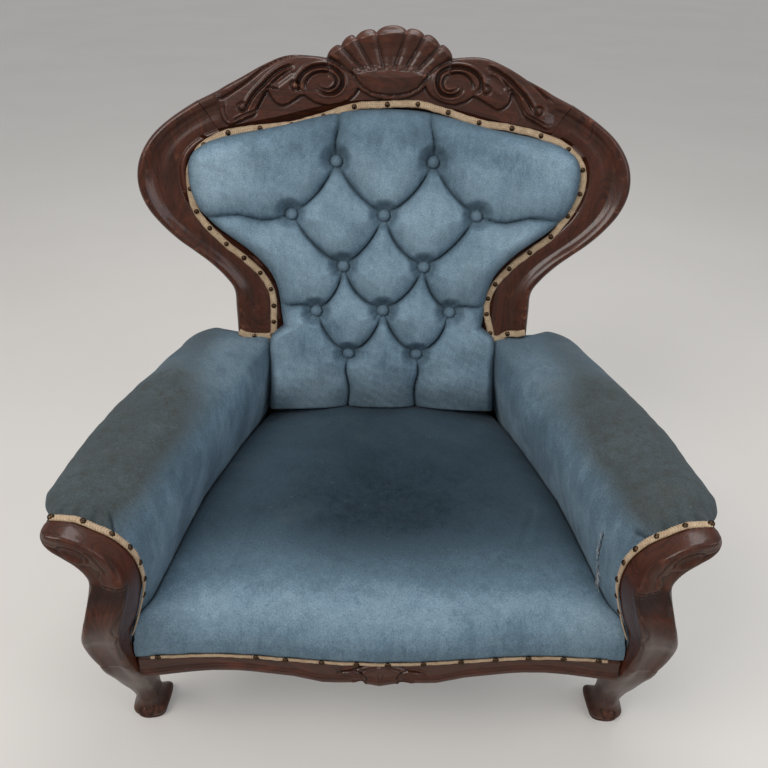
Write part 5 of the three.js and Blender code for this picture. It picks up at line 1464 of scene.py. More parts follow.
def make_arm_pad(side, label):
    """Padded arm: soiled on its top, pleated at its front, torn on the right one's inside."""
    ys = np.concatenate([np.linspace(BRAID_DEPTH, 22, 7), np.linspace(23.5, 486, 176)])
    rings = np.stack([section_ring(y) for y in ys])
    x, z = rings[..., 0], rings[..., 1]
    y = np.broadcast_to(ys[:, None], x.shape).copy()
    # the rear end presses past the stile, further on its outer side
    y += (20 + 14 * smooth((x - 262) / 34)) * smooth((y - 380) / 106)
    points = np.stack([x, y, z], -1)
    shown = np.zeros(x.shape)
    shown[:, :ARM_SHOWN] = 1
    # ripples gather the cover over the front of the arm, and soft dents run along it
    ahead = np.exp(-((y - 22) / 22) ** 2)
    ripple = 0.9 * np.sin(x * 0.33 + side) * ahead * smooth((z - 478) / 20)
    dents = 1.5 * noise(points * [side, 1, 1], 95, 41 + side) + 0.5 * noise(points, 34, 43)
    mid = np.stack([rings[:, :ARM_SHOWN, 0].mean(1), rings[:, :ARM_SHOWN, 1].mean(1)], -1)
    out = np.stack([x, z], -1) - mid[:, None]
    out /= np.maximum(np.linalg.norm(out, axis=-1, keepdims=True), 1e-6)
    loose = smooth((y - 15) / 18) * smooth((505 - y) / 20) * shown
    lift = (dents * loose - 1.4 * loose) + ripple * shown * smooth((y - 14.5) / 3)
    points[..., 0] += out[..., 0] * lift
    points[..., 2] += out[..., 1] * lift
    top = smooth((z - 462) / 52)
    blotch = noise(points, 70, 47 + side)
    soil = np.clip(top * (0.92 + 0.15 * blotch) * (0.4 + 0.6 * smooth((430 - y) / 200))
                   + 0.35 * smooth((x - mix(300, 250, y / 500)) / 60), 0, 0.95)
    wall = smooth((470 - z) / 60)
    # the pile's tone varies at random and is a little lighter on the top and low on the inner
    # side
    crown = np.clip(0.5 + 0.14 * blotch + 0.05 * top + 0.1 * wall, 0, 1)
    # painted shade behind the front braid, low against the seat and in the troughs of the
    # ripples
    hollow = np.clip(0.55 * np.exp(-(y - ARM_FRONT) / 4) + 0.8 * smooth((300 - z) / 34), 0, 1)
    hollow = np.maximum(hollow, 0.5 * np.clip(-ripple, 0, 1))
    gap, s = to_line(y, x, ARM_PLEAT[side])
    gather = np.exp(-(gap / 1.7) ** 2) * smooth((1 - s) / 0.3) * shown * (z > 470)
    lip = 1.5 * np.exp(-((gap - 4) / 2) ** 2) * (1 - s) * shown * (z > 470)
    points[..., 2] += lip - 2.6 * gather
    # painted shade in the pleats
    hollow = np.maximum(hollow, gather)
    if side > 0:
        # painted shade inside the tear and a painted highlight along its lip
        rip, _ = to_line(y, z, TEAR)
        at_rip = shown * (x < 345)
        hollow = np.maximum(hollow, 1.2 * np.exp(-(rip / 1.9) ** 2) * at_rip)
        crown = np.maximum(crown, np.exp(-((rip - 4) / 1.6) ** 2) * at_rip)
        slit = 1.6 * np.exp(-(rip / 1.5) ** 2) - 1.1 * np.exp(-((rip - 3.6) / 1.6) ** 2)
        points[..., 0] += slit * at_rip
    points[..., 0] *= side
    held = np.clip(1 - smooth((y - 15) / 12) * smooth((505 - y) / 14) * shown
                   + smooth((292 - z) / 10), 0, 1)
    pad = surface("arm_padding_" + label, points, crown=crown, hollow=hollow,
                  soil=soil, tacked=held)
    settle(pad, form().slack)
    dress(pad, "rested_velvet", "arm_velvet", "arm_pad_" + label)
    return pad


def arm_inside(y, z):
    """How far out the inner side of the arm lies, at a depth and a height."""
    line, _ = arm_section(y)
    heights = sorted((high, out) for out, high in line[:8])
    return float(along(heights, z))


def seat_half(y, depth):
    """Half width of the seat between the posts, then between the arms."""
    if y < BRAID_DEPTH:
        return SEAT_HALF_WIDE
    top = float(along(SEAT_TOP, depth))
    return min([SEAT_HALF_WIDE] + [arm_inside(y, z) for z in (270, 290, 310, top - 12)]) - 1.5


SEAT_FRONT_ROWS = 8
# shallow drag lines of the seat's cover
SEAT_WRINKLES = [
    [(-60, 405), (-10, 330), (30, 262)],
    [(150, 90), (205, 140), (238, 220)],
    [(-240, 60), (-205, 130), (-190, 230)],
]


def seat_rows():
    """Rows of the seat from its front edge to its rear: top points, under points, depths."""
    front = np.concatenate([np.zeros(SEAT_FRONT_ROWS), [1.2, 2.6, 4.2, 6]])
    depths = np.concatenate([front, np.linspace(8, SEAT_DEEP, 184)])
    s = np.linspace(-1, 1, 210)
    k = np.sign(s) * (1 - (1 - np.abs(s)) ** 1.25)
    tops, lows = [], []
    for row, d in enumerate(depths):
        blend = 1 - float(smooth(d / 160))
        y_side = d + (float(along(FRONT_LINE, 330)) + 1) * blend + 6 * (1 - blend)
        half = seat_half(y_side, d)
        x = k * half
        y = d + (along(FRONT_LINE, np.abs(x)) + 1) * blend + 6 * (1 - blend)
        a = np.abs(x) / half
        z = along(SEAT_TOP, d) - 9 * np.exp(-(x / 120) ** 2 - ((y - 250) / 110) ** 2)
        z = z - (16 * a ** 4 * smooth(d / 60) + 6 * a ** 8)
        z = np.maximum(z, 278)
        # the first rows stand upright, from the rail to the front edge
        if row < SEAT_FRONT_ROWS - 1:
            share = row / (SEAT_FRONT_ROWS - 1)
            z = mix(266.5, z, share)
            y = y - 1.6 * math.sin(math.pi * share)
        low, low_y = x[::-6], y[::-6]
        base = hessian_top(low, low_y) + 6.5
        if row < SEAT_FRONT_ROWS:
            base = mix(266.3, base, row / SEAT_FRONT_ROWS)
            low_y = low_y + 2
        tops.append(np.stack([x, y, z], -1))
        lows.append(np.stack([low, low_y, base], -1))
    return np.array(tops), np.array(lows), depths[:, None], np.abs(s)[None, :]


def make_seat_pad():
    """Sprung seat: sagged in its middle, with painted light on its front edge and painted shade
    at its sides and rear, dark where sat on.
    """
    tops, lows, d, a = seat_rows()
    x, y, z = tops[..., 0], tops[..., 1], tops[..., 2]
    p = np.stack([x, y], -1)
    inner = smooth(d / 14) * smooth((SEAT_DEEP - d) / 20) * smooth((1 - a) / 0.06)
    sag = -5.5 * np.exp(-((x - 12) / 150) ** 2 - ((y - 215) / 125) ** 2)
    drag = 1.1 * noise(p * [1, 1.6], 80, 51) + 0.6 * noise(p, 30, 52)
    gaps = [to_line(x, y, line)[0] for line in SEAT_WRINKLES]
    wrinkle = sum(-1.6 * np.exp(-(q / 5) ** 2) + 0.8 * np.exp(-((q - 11) / 6) ** 2)
                  for q in gaps)
    z += (sag + drag + wrinkle) * inner - 0.8 * inner
    tacks = 0.8 * np.cos(x * 2 * math.pi / 47) * np.exp(-((d - 3) / 9) ** 2)
    y += -tacks * smooth((1 - a) / 0.05) * 0.5
    blank = np.zeros(lows.shape[:2])
    front = np.exp(-((d - 34) / 30) ** 2)
    blotch = noise(p, 90, 55) * 0.5 + 0.5
    rear = smooth((d - 60) / 330)
    middle = np.exp(-((x - 10) / 200) ** 2 - ((y - 235) / 165) ** 2)
    # painted light on the front edge and slightly on the sides, painted shade towards the rear,
    # with tone varying at random; the middle is darker where the pile was sat flat
    crown = np.clip(0.34 + 0.42 * front + 0.16 * blotch - 0.3 * rear
                    + 0.1 * smooth((a - 0.5) / 0.4), 0, 1)
    crown = crown * (1 - 0.6 * middle)
    soil = np.clip(0.62 * smooth((d - 45) / 150) + 0.36 * middle + 0.12 * (blotch - 0.5), 0,
                   0.96)
    # painted shade along the sides against the arms, at the rear against the back and under the
    # front edge
    dark = np.maximum(np.exp(-(1 - a) / 0.03) * smooth(d / 30), smooth((d - 462) / 25) * 0.8)
    dark = np.clip(np.maximum(dark, 0.12 * np.exp(-d / 1.8)), 0, 1)
    held = np.clip(1 - inner * 1.2, 0, 1)
    # painted shade is laid evenly at half strength on the hidden underside
    pad = surface("sprung_seat", np.concatenate([tops, lows], 1),
                  crown=np.concatenate([crown, blank], 1),
                  hollow=np.concatenate([dark, blank + 0.5], 1),
                  soil=np.concatenate([soil, blank], 1),
                  tacked=np.concatenate([held, blank + 1], 1))
    settle(pad, form().slack)
    dress(pad, "sat_velvet", "seat_velvet", "seat_pad")
    return pad


# Braid, nails and buttons
def braid_strip(name, centre, across, up, wide, thick):
    """A woven braid along rows of centres, with its side and up directions."""
    runs = run_of(centre)
    n = max(int(runs[-1] / BRAID_STEP), 8)
    at = np.linspace(0, runs[-1], n)
    centre, across, up = (pick(at, runs, rows)[:, None] for rows in (centre, across, up))
    q = np.linspace(-1, 1, 15)[None, :]
    run = at[:, None]
    scallop = 0.94 + 0.06 * np.abs(np.sin(run * math.pi / 3.4))
    twist = np.abs(np.sin(run * math.pi / 3.6 + q * 2.2 * np.sign(q)))
    lane = np.abs(np.sin(q * math.pi * 1.5))
    rise = thick * (0.42 + 0.38 * twist * (0.4 + 0.6 * lane) + 0.2 * (1 - q * q))
    rise = rise * np.clip((1 - np.abs(q)) / 0.12 + 0.35, 0, 1)
    wave = 0.35 * np.sin(run / 7.3) + 0.25 * np.sin(run / 2.9 + 1)
    side = q * scallop * wide / 2 + wave
    face = centre + across * side[..., None] + up * rise[..., None]
    back = centre + across * np.array([0.97, -0.97])[None, :, None] * wide / 2 + up * 0.12
    # painted shade where the cords lie low, and full painted shade on the braid's back
    hollow = np.clip(1.65 - rise / thick * 1.85, 0, 1)
    hollow = np.concatenate([hollow, np.ones((n, 2))], 1)
    return surface(name, np.concatenate([face, back], 1), hollow=hollow)


def stile_step(u, v):
    """How far the stile's foot lifts the ends of the braid and their nails."""
    return 8 * smooth((np.abs(u) - 205) / 30) * (v < 14)


def make_back_gimp():
    """Braid round the back, along the line of its nails and out over both stiles' feet."""
    run = [(-247, 7), (-236, 2), *BACK_NAILS[:1], (-206, -2), (-192, -1), (-188.5, 8),
           *BACK_NAILS[2:-2], (185, 20), (188.5, 8), (192, -1), (204, -1), BACK_NAILS[-1],
           (233, 9), (246, 11)]
    mid = even(run, 1.2)
    way = np.gradient(mid, axis=0)
    way /= np.linalg.norm(way, axis=1, keepdims=True)
    u, v = mid[:, 0], mid[:, 1]
    out = 4.6 + stile_step(u, v)
    centre = on_back(u, v, out)
    across = on_back(u - way[:, 1], v + way[:, 0], out) - centre
    up = on_back(u, v, out + 1) - centre
    strip = braid_strip("back_braid", centre, across, up, 11.6, 2.2)
    return dress(strip, "braid_cord", "braid", "back_gimp")


def make_arm_gimp(side, label):
    """Braid over the front of an arm, between the cover and the post."""
    path = through(ARM_OUTLINE[2:], 200)
    way = np.gradient(path, axis=0)
    way /= np.linalg.norm(way, axis=1, keepdims=True)
    out = np.stack([-way[:, 1], way[:, 0]], 1)
    c = path + out * 2.0
    centre = np.stack([side * c[:, 0], np.full(len(c), BRAID_DEPTH), c[:, 1]], 1)
    across = np.tile([0.0, 1.0, 0.0], (len(c), 1))
    up = np.stack([side * out[:, 0], 0 * out[:, 0], out[:, 1]], 1)
    strip = braid_strip("arm_braid_" + label, centre, across, up, 11.5, 2.4)
    return dress(strip, "braid_cord", "braid", "arm_gimp_" + label)


def make_seat_gimp():
    """Narrow braid along the foot of the seat's front edge."""
    x = np.linspace(-316, 316, 260)
    y = along(FRONT_LINE, np.abs(x))
    centre = np.stack([x, y - 0.7, 0 * x + GIMP_LINE_Z], 1)
    across = np.tile([0.0, 0.0, 1.0], (len(x), 1))
    up = np.tile([0.0, -1.0, 0.0], (len(x), 1))
    strip = braid_strip("seat_braid", centre, across, up, 6, 1.8)
    return dress(strip, "braid_cord", "braid", "seat_gimp")


def dome_shape():
    """One domed nail head, a unit wide, its foot on the plane."""
    nothing_selected()
    bpy.ops.mesh.primitive_uv_sphere_add(segments=14, ring_count=10, radius=0.5)
    dome = bpy.context.object
    co = points_of(dome)
    co[:, 2] = np.clip(co[:, 2], -0.02, None) * 0.78
    lay_points(dome, co)
    only(dome)
    bpy.ops.object.mode_set(mode="EDIT")
    bpy.ops.mesh.select_all(action="SELECT")
    bpy.ops.mesh.remove_doubles(threshold=1e-4)
    bpy.ops.mesh.normals_make_consistent(inside=False)
    bpy.ops.object.mode_set(mode="OBJECT")
    bpy.ops.object.shade_smooth()
    return dome


def set_down(shape, name, place, up, wide):
    """A copy of a shape with its own mesh, moved in its mesh."""
    piece = shape.copy()
    piece.data = shape.data.copy()
    bpy.context.scene.collection.objects.link(piece)
    turn = Vector((0, 0, 1)).rotation_difference(Vector(up)).to_matrix().to_4x4()
    piece.data.transform(Matrix.Translation(Vector(place)) @ turn @ Matrix.Scale(wide, 4))
    return named(piece, name)


def nail_places():
    """Where each nail stands and which way it points, row by row."""
    rows = {"back_nails": [], "arm_nails_left": [], "arm_nails_right": [], "seat_nails": []}
    for u, v in BACK_NAILS:
        out = 5.8 + float(stile_step(u, v))
        p = on_back(u, v, out)
        rows["back_nails"].append((p, on_back(u, v, out + 1) - p))
    path = through(ARM_OUTLINE, 160)
    for side, label in SIDES:
        for x, z in ARM_NAILS[side]:
            k = int(np.argmin(np.hypot(path[:, 0] - x, path[:, 1] - z)))
            way = path[min(k + 1, len(path) - 1)] - path[max(k - 1, 0)]
            out = np.array([-way[1], way[0]]) / np.linalg.norm(way)
            c = path[k] + out * 3.2
            rows["arm_nails_" + label].append((np.array([side * c[0], BRAID_DEPTH, c[1]]),
                                               np.array([side * out[0], -0.45, out[1]])))
    for x in SEAT_NAILS:
        y = float(along(FRONT_LINE, abs(x)))
        rows["seat_nails"].append((np.array([x, y - 1.9, GIMP_LINE_Z]), np.array([0, -1, 0.12])))
    return rows


def make_nails():
    """Domed nails, driven by hand: no two quite upright or of one size."""
    shape = dome_shape()
    rng = np.random.default_rng(5)
    for name, places in nail_places().items():
        heads = []
        for k, (p, up) in enumerate(places):
            up = up / np.linalg.norm(up) + rng.normal(size=3) * 0.05
            wide = form().nail * rng.uniform(0.94, 1.05)
            heads.append(set_down(shape, f"{name}_{k}", placed(p), up, wide))
        dress(joined(name, heads), "nail_bronze", "spring_steel")
    bpy.data.objects.remove(shape)


def make_buttons():
    """Covered buttons, each a dome of velvet puckered round its edge."""
    r = np.concatenate([np.linspace(0.0, 0.9, 11), [0.97, 1.0, 0.98, 0.9]])[:, None]
    h = np.concatenate([5.9 - 2.2 * (r[:11, 0] / 0.9) ** 2.2, [2.7, 1.6, 0.7, 0.1]])[:, None]
    angle = np.linspace(0, 2 * math.pi, 40, endpoint=False)[None, :]
    half = form().button * MM_PER_M / 2
    for k, (u, v) in enumerate(BUTTONS):
        reach = r * half * (1 + 0.02 * np.sin(angle * 7 + k) * (r > 0.6))
        points = on_back(u + np.cos(angle) * reach, v + np.sin(angle) * reach, 8.0 + h)
        # painted highlight on the top of each dome and painted shade round its foot
        crown = np.broadcast_to(np.interp(h, [0, 4, 6], [0.05, 0.35, 0.6]), reach.shape)
        hollow = np.broadcast_to(np.interp(h, [0, 2.5], [0.8, 0]), reach.shape)
        cover = surface(f"covered_button_{k + 1}", points, crown=crown,
                        hollow=hollow, soil=0.15 + 0 * reach)
        dress(cover, "back_velvet", "velvet", f"back_button_{k + 1}")


# Hidden parts
def stretched(piece):
    """Find the two longest sides of a piece's bounds; nothing uses them."""
    long, wide = sorted(np.ptp(points_of(piece), axis=0), reverse=True)[:2]


def cloth_from(node, name, finish, slot):
    """The cloth of a CAD node with a soft, uneven weave in its surface."""
    piece = copy_of(node, name)
    bpy.ops.object.mode_set(mode="EDIT")
    bpy.ops.mesh.select_all(action="SELECT")
    bpy.ops.mesh.normals_make_consistent(inside=False)
    bpy.ops.object.mode_set(mode="OBJECT")
    bpy.ops.object.shade_smooth_by_angle(angle=math.radians(40))
    dress(piece, finish, slot, node)
    stretched(piece)


def panel(name, outer, thick, outward, finish, slot, node, rests_on, **layers):
    """A thin panel of cloth: its shown face and its back a little behind it."""
    inner = outer - outward * thick
    points = np.concatenate([outer, inner[:, ::-1]], 1)
    layers = {k: np.concatenate([a, a[:, ::-1]], 1) for k, a in layers.items()}
    piece = surface(name, points, **layers)
    dress(piece, finish, slot, node)
    stretched(piece)


def side_rail_outer(y):
    """Outer face of the side seat rail, which runs in towards the back."""
    return mix(352, 249, (y - 52) / 470)


# outside of the arm: height (0 to 1), how far it is drawn in, where its front edge lies
OUTSIDE_BEND = [(0, 0, 74), (.3, -.3, 58), (.65, 2, 40), (1, 0, 20)]
OUTSIDE_LOW, OUTSIDE_HIGH, OUTSIDE_REAR = 222, 439.4, 520


def make_outside_arm(side, label):
    """Cloth panel outside the arm, tacked from the side rail to the arm rail."""
    t = np.linspace(0, 1, 60)[None, :]
    i = np.linspace(0, 1, 90)[:, None]
    bend = np.array(OUTSIDE_BEND)
    y = mix(np.interp(t, bend[:, 0], bend[:, 2]), OUTSIDE_REAR, i)
    soft = 0.9 * noise(np.stack(np.broadcast_arrays(y, OUTSIDE_LOW + 217 * t), -1), 120, 61)
    soft = soft * np.sin(math.pi * t) * np.sin(math.pi * i) - 0.6 * np.sin(math.pi * t)
    drawn_in = 3 * np.interp(t, bend[:, 0], bend[:, 1])
    x = mix(side_rail_outer(y) + 0.3, arm_rail_inner(y) + 45, t) - drawn_in + 5 + soft - 0.4
    z = mix(OUTSIDE_LOW, OUTSIDE_HIGH, t) + 0 * y
    outer = np.stack([side * x, y, z], -1)
    crown = 0.34 + 0.2 * noise(outer, 90, 62)
    # painted shade along the tacked top and bottom edges
    edge = np.maximum(np.exp(-t / 0.03), np.exp(-(1 - t) / 0.03)) + 0 * y
    panel("outside_cloth_" + label, outer, 3.0, np.array([side * 1.0, 0, 0]),
          "rested_velvet", "arm_velvet", "outside_arm_" + label,
          ["side_rail_" + label, "arm_rail_" + label], crown=crown,
          hollow=np.clip(edge * 0.5, 0, 1), soil=0.25 + 0 * crown)


# outside of the back: half width over v, and top over the distance from the middle
OUT_FOOT, OUT_CORNER_V, OUT_UPRIGHT_V = -280, 326, -150
OUT_SIDE = [
    (-280, 204), (-200, 202), (-138, 200), (-60, 196), (-8, 193), (18, 193), (44, 236),
    (80, 239), (104, 253), (126, 274), (145, 297), (164, 320), (187, 343), (214, 363),
    (244, 375), (274, 377), (300, 368), (326, 349),
]
OUT_TOP = [(0, 428), (60, 428), (112, 428), (154, 424), (190, 411), (229, 395), (264, 380),
           (300, 362), (349, 326)]


def make_outside_back():
    """Cloth panel behind the back: it leans with the stiles, then hangs upright below them."""
    v0 = np.linspace(OUT_FOOT, OUT_CORNER_V, 150)[:, None]
    q = np.linspace(-1, 1, 110)[None, :]
    u = q * along(OUT_SIDE, v0)
    v = v0 + (along(OUT_TOP, np.abs(u)) - OUT_CORNER_V) * smooth((v0 - 130) / 196)
    p = on_back(u, np.maximum(v, OUT_UPRIGHT_V), BACK_FACE - 1.95)
    drop = np.maximum(OUT_UPRIGHT_V - v, 0)
    p[..., 1] += 24.5 * smooth(-v / 150) + drop * 0.06
    p[..., 2] -= drop
    lean = np.array([0, math.cos(RECLINE), -math.sin(RECLINE)])
    soft = noise(np.stack([u, v], -1), 150, 71) * 0.7 * np.cos(q * math.pi / 2)
    p -= lean * soft[..., None] * 0.5
    crown = 0.33 + 0.2 * noise(p, 110, 72)
    # painted shade along the tacked side edges
    edge = np.exp(-(1 - np.abs(q)) / 0.025) + 0 * v0
    panel("outside_back_cloth", p, 2.4, -lean, "rested_velvet", "velvet", "outside_back",
          ["stile_left", "stile_right", "crest_rail", "back_rail"],
          crown=crown, hollow=np.clip(edge * 0.5, 0, 1), soil=0.3 + 0 * crown)


FRAY_COUNT, FRAY_LONG_FROM = 30, 18
THREAD_ROWS, THREAD_SIDES, THREAD_HALF = 14, 6, 0.42


def make_fray():
    """Loose threads at the tear of the right arm: short along it, long at its lower end."""
    rng = np.random.default_rng(17)
    s = np.linspace(0, 1, THREAD_ROWS)
    angle = np.linspace(0, 2 * math.pi, THREAD_SIDES, endpoint=False)[None]
    r = (THREAD_HALF * (1 - 0.5 * s))[:, None]
    round_it = np.stack([np.cos(angle) * r, np.zeros((THREAD_ROWS, THREAD_SIDES)),
                         np.sin(angle) * r], -1)
    tear = through(TEAR, 41)
    pieces = []
    for k in range(FRAY_COUNT):
        low = k >= FRAY_LONG_FROM
        t = rng.uniform(0.8, 1) if low else rng.uniform(0, 1)
        y, z = tear[int(t * 40)]
        x = arm_inside(y, z) + 0.4
        length = rng.uniform(14, 26) if low else rng.uniform(4, 11)
        turn = rng.uniform(-1.2, 0.6) if low else rng.uniform(-1.4, 1.4)
        fall = rng.uniform(0.2, 0.6)
        curl = rng.uniform(-2.5, 2.5)
        line = np.stack([x - 3.2 * np.sin(s * math.pi * 0.8) - s * 1.6,
                         y - length * s * 0.8 * math.cos(turn) + curl * np.sin(s * 5),
                         z + length * s * math.sin(turn) - length * fall * s * s], 1)
        pieces.append(surface(f"thread_{k}", line[:, None, :] + round_it,
                              hollow=np.zeros(round_it.shape[:2])))
    dress(joined("torn_threads", pieces), "bare_thread", "arm_velvet")


BEECH_NODES = ("side_rail", "arm_rail", "corner_block", "back_rail", "tack_rail")


def make_hidden_frame():
    """Finish the beech rails and the springs, and lay the webbing and hessians over them."""
    for node in sorted(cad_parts):
        if node.startswith(BEECH_NODES + ("seat_spring",)):
            kind = "spring_wire" if node.startswith("seat_spring") else "beech"
            mesh = bpy.data.objects[node].data
            mesh.materials.clear()
            mesh.materials.append(finish_of(kind))
        elif node.startswith("webbing"):
            cloth_from(node, node.replace("webbing", "strap"), "jute_web", "jute")
    cloth_from("spring_hessian", "hessian_over_springs", "hessian", "jute")
    cloth_from("back_hessian", "hessian_of_back", "hessian", "jute")
    cloth_from("dust_cover", "bottom_cloth", "black_cambric", "cambric")


# Stage
FLOOR_WIDE = 44
FLOOR_LIGHT, FLOOR_DARK = (0.64, 0.605, 0.565, 1), (0.6, 0.565, 0.525, 1)
# lamps: place, size, power in watts, colour; all of them look at LAMP_AIM
LAMPS = {
    "key_lamp": ((-1.5, -1.6, 2.7), 1.4, 46, (1, 0.97, 0.93)),
    "fill_lamp": ((1.9, -1.3, 2.0), 1.6, 17, (0.92, 0.96, 1)),
    "top_lamp": ((0.2, 0.6, 2.8), 1.2, 22, (1, 1, 1)),
}
LAMP_AIM = (0, -0.02, 0.5)
CAMERA_PLACE = (-0.008, -0.725, 1.176)
CAMERA_DOWN, CAMERA_TURN, CAMERA_ROLL = 32.12, -0.57, 0.96
CAMERA_LENS, CAMERA_SENSOR = 37.5, 36


def make_floor():
    """Plain pale floor, lit a little for the camera alone so that it stays light."""
    nothing_selected()
    bpy.ops.mesh.primitive_plane_add(size=FLOOR_WIDE, location=(0, 0, 0))
    floor = named(bpy.context.object, "pale_floor")
    material, g, shader = blank_material("pale_paint", **{
        "Roughness": 0.75, "Emission Color": (1, 0.985, 0.96, 1)})
    tone = g.noise(g.place(), 1.5, 3.0, 0.5)
    shade = g.blend(g.remap(tone, 0.3, 0.7), FLOOR_DARK, FLOOR_LIGHT)
    g.feed(shader, "Base Color", shade)
    seen = g.add("ShaderNodeLightPath").outputs["Is Camera Ray"]
    g.feed(shader, "Emission Strength", g.math("MULTIPLY", seen, 0.16))
    floor.data.materials.append(material)


def make_light(scene):
    """Soft world light, white to the camera, and three soft lamps."""
    world = bpy.data.worlds.new("studio")
    scene.world = world
    world.use_nodes = True
    world.node_tree.nodes.clear()
    g = Graph(world.node_tree)
    soft = g.add("ShaderNodeBackground", {"Color": (0.93, 0.96, 1.0, 1), "Strength": 0.34})
    white = g.add("ShaderNodeBackground", {"Color": (1, 1, 1, 1), "Strength": 0.92})
    path = g.add("ShaderNodeLightPath")
    which = g.add("ShaderNodeMixShader", {0: path.outputs["Is Camera Ray"],
                                          1: soft.outputs[0], 2: white.outputs[0]})
    g.add("ShaderNodeOutputWorld", {0: which.outputs[0]})
    for name, (place, size, power, tint) in LAMPS.items():
        data = bpy.data.lights.new(name, "AREA")
        data.size = size
        data.energy = power
        data.color = tint
        lamp = bpy.data.objects.new(name, data)
        scene.collection.objects.link(lamp)
        lamp.location = place
        aim = Vector(LAMP_AIM) - Vector(place)
        lamp.rotation_euler = aim.to_track_quat("-Z", "Y").to_euler()


def make_camera(scene):
    """Camera at the height, distance and tilt from which the chair was photographed."""
    data = bpy.data.cameras.new("photo_camera")
    data.lens = CAMERA_LENS
    data.sensor_width = CAMERA_SENSOR
    data.clip_start = 0.05
    camera = bpy.data.objects.new("photo_camera", data)
    scene.collection.objects.link(camera)
    down, turn, roll = (math.radians(a) for a in (CAMERA_DOWN, CAMERA_TURN, CAMERA_ROLL))
    right = Vector((math.cos(turn), math.sin(turn), 0))
    level = Vector((-math.sin(turn), math.cos(turn), 0))
    ahead = level * math.cos(down) - Vector((0, 0, 1)) * math.sin(down)
    up = level * math.sin(down) + Vector((0, 0, 1)) * math.cos(down)
    side = right * math.cos(roll) + up * math.sin(roll)
    over = up * math.cos(roll) - right * math.sin(roll)
    facing = Matrix((side, over, -ahead)).transposed().to_4x4()
    where = Vector(CAMERA_PLACE) + Vector((0, DEPTH_SHIFT / MM_PER_M, 0))
    camera.matrix_world = Matrix.Translation(where) @ facing
    scene.camera = camera


def make_stage():
    """Floor, light and camera."""
    scene = bpy.context.scene
    scene.view_settings.view_transform = "Standard"
    make_floor()
    make_light(scene)
    make_camera(scene)


# Operators and panel
class CHAIR_OT_hidden_frame(bpy.types.Operator):
    """Finish the beech rails, springs and webbing"""
    bl_idname = "chair.hidden_frame"
    bl_label = "Hidden frame"

    def execute(self, context):
        make_hidden_frame()
        return {"FINISHED"}


class CHAIR_OT_crest(bpy.types.Operator):
    """Carve the crest rail with its shell"""
    bl_idname = "chair.crest"
    bl_label = "Carved crest"

    def execute(self, context):
        make_crest()
        return {"FINISHED"}


class CHAIR_OT_stiles(bpy.types.Operator):
    """Shape the two show-wood stiles"""
    bl_idname = "chair.stiles"
    bl_label = "Back stiles"

    def execute(self, context):
        for side, label in SIDES:
            make_stile(side, label)
        return {"FINISHED"}


class CHAIR_OT_posts(bpy.types.Operator):
    """Carve the arm posts and front legs"""
    bl_idname = "chair.posts"
    bl_label = "Arm posts"

    def execute(self, context):
        for side, label in SIDES:
            make_post(side, label)
        return {"FINISHED"}


class CHAIR_OT_rear_legs(bpy.types.Operator):
    """Shape the raked rear legs"""
    bl_idname = "chair.rear_legs"
    bl_label = "Rear legs"

    def execute(self, context):
        for side, label in SIDES:
            make_rear_leg(side, label)
        return {"FINISHED"}


class CHAIR_OT_front_rail(bpy.types.Operator):
    """Carve the front rail"""
    bl_idname = "chair.front_rail"
    bl_label = "Front rail"

    def execute(self, context):
        make_front_rail()
        return {"FINISHED"}


class CHAIR_OT_back_pad(bpy.types.Operator):
    """Stuff and button the back"""
    bl_idname = "chair.back_pad"
    bl_label = "Buttoned back"

    def execute(self, context):
        make_back_pad()
        return {"FINISHED"}


class CHAIR_OT_arm_pads(bpy.types.Operator):
    """Stuff the two arms"""
    bl_idname = "chair.arm_pads"
    bl_label = "Arm pads"

    def execute(self, context):
        for side, label in SIDES:
            make_arm_pad(side, label)
        return {"FINISHED"}


class CHAIR_OT_seat_pad(bpy.types.Operator):
    """Stuff the seat"""
    bl_idname = "chair.seat_pad"
    bl_label = "Sprung seat"

    def execute(self, context):
        make_seat_pad()
        return {"FINISHED"}


class CHAIR_OT_outside_cloth(bpy.types.Operator):
    """Cover the outside of the arms and the back"""
    bl_idname = "chair.outside_cloth"
    bl_label = "Outside cloth"

    def execute(self, context):
        for side, label in SIDES:
            make_outside_arm(side, label)
        make_outside_back()
        return {"FINISHED"}


class CHAIR_OT_braids(bpy.types.Operator):
    """Lay the braid round the back, over the arm fronts and along the seat"""
    bl_idname = "chair.braids"
    bl_label = "Braids"

    def execute(self, context):
        make_back_gimp()
        for side, label in SIDES:
            make_arm_gimp(side, label)
        make_seat_gimp()
        return {"FINISHED"}


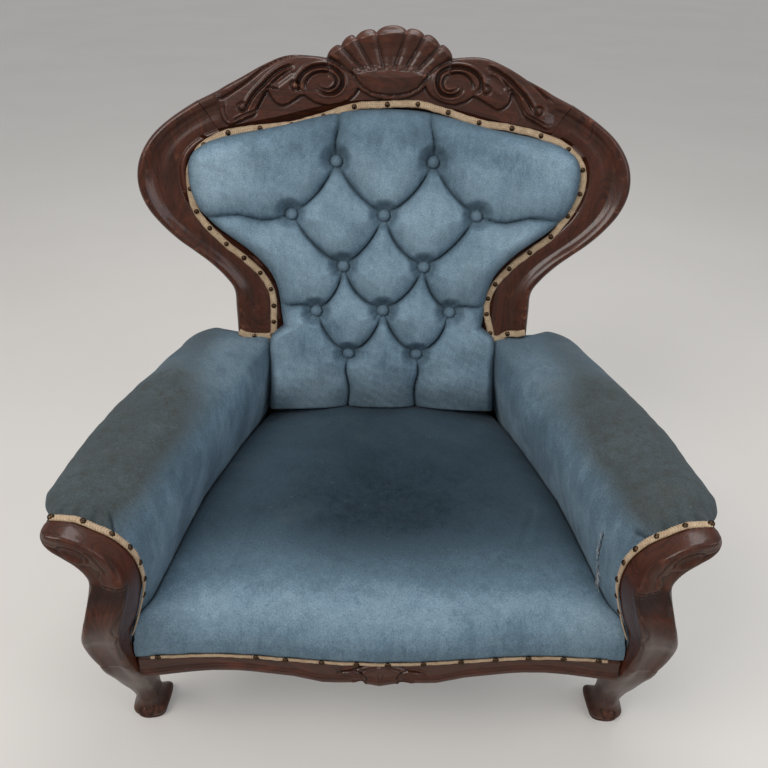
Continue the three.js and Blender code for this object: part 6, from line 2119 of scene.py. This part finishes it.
class CHAIR_OT_buttons(bpy.types.Operator):
    """Set the twelve covered buttons"""
    bl_idname = "chair.buttons"
    bl_label = "Covered buttons"

    def execute(self, context):
        make_buttons()
        return {"FINISHED"}


class CHAIR_OT_nails(bpy.types.Operator):
    """Set the domed nails"""
    bl_idname = "chair.nails"
    bl_label = "Nails"

    def execute(self, context):
        make_nails()
        return {"FINISHED"}


class CHAIR_OT_fray(bpy.types.Operator):
    """Fray the tear on the right arm"""
    bl_idname = "chair.fray"
    bl_label = "Torn threads"

    def execute(self, context):
        make_fray()
        return {"FINISHED"}


class CHAIR_OT_stage(bpy.types.Operator):
    """Set the floor, the lamps and the camera"""
    bl_idname = "chair.stage"
    bl_label = "Stage"

    def execute(self, context):
        make_stage()
        return {"FINISHED"}


STEPS = [
    CHAIR_OT_hidden_frame, CHAIR_OT_crest, CHAIR_OT_stiles, CHAIR_OT_posts,
    CHAIR_OT_rear_legs, CHAIR_OT_front_rail, CHAIR_OT_back_pad, CHAIR_OT_arm_pads,
    CHAIR_OT_seat_pad, CHAIR_OT_outside_cloth, CHAIR_OT_braids, CHAIR_OT_buttons,
    CHAIR_OT_nails, CHAIR_OT_fray, CHAIR_OT_stage,
]


class CHAIR_PT_panel(bpy.types.Panel):
    """Lists the chair's steps and sizes."""
    bl_label = "Armchair"
    bl_space_type = "VIEW_3D"
    bl_region_type = "UI"
    bl_category = "Armchair"

    def draw(self, context):
        column = self.layout.column()
        for step in STEPS:
            column.operator(step.bl_idname)
        for group in (form(), looks()):
            for key in group.__annotations__:
                column.prop(group, key)


CLASSES = [ChairForm, ChairLooks, *STEPS, CHAIR_PT_panel]


def register():
    for each in CLASSES:
        bpy.utils.register_class(each)
    bpy.types.Scene.chair_form = bpy.props.PointerProperty(type=ChairForm)
    bpy.types.Scene.chair_looks = bpy.props.PointerProperty(type=ChairLooks)


def unregister():
    del bpy.types.Scene.chair_form
    del bpy.types.Scene.chair_looks
    for each in reversed(CLASSES):
        bpy.utils.unregister_class(each)


def main():
    register()
    for step in STEPS:
        getattr(bpy.ops.chair, step.bl_idname.removeprefix("chair."))()
    nothing_selected()


if __name__ == "__main__":
    main()
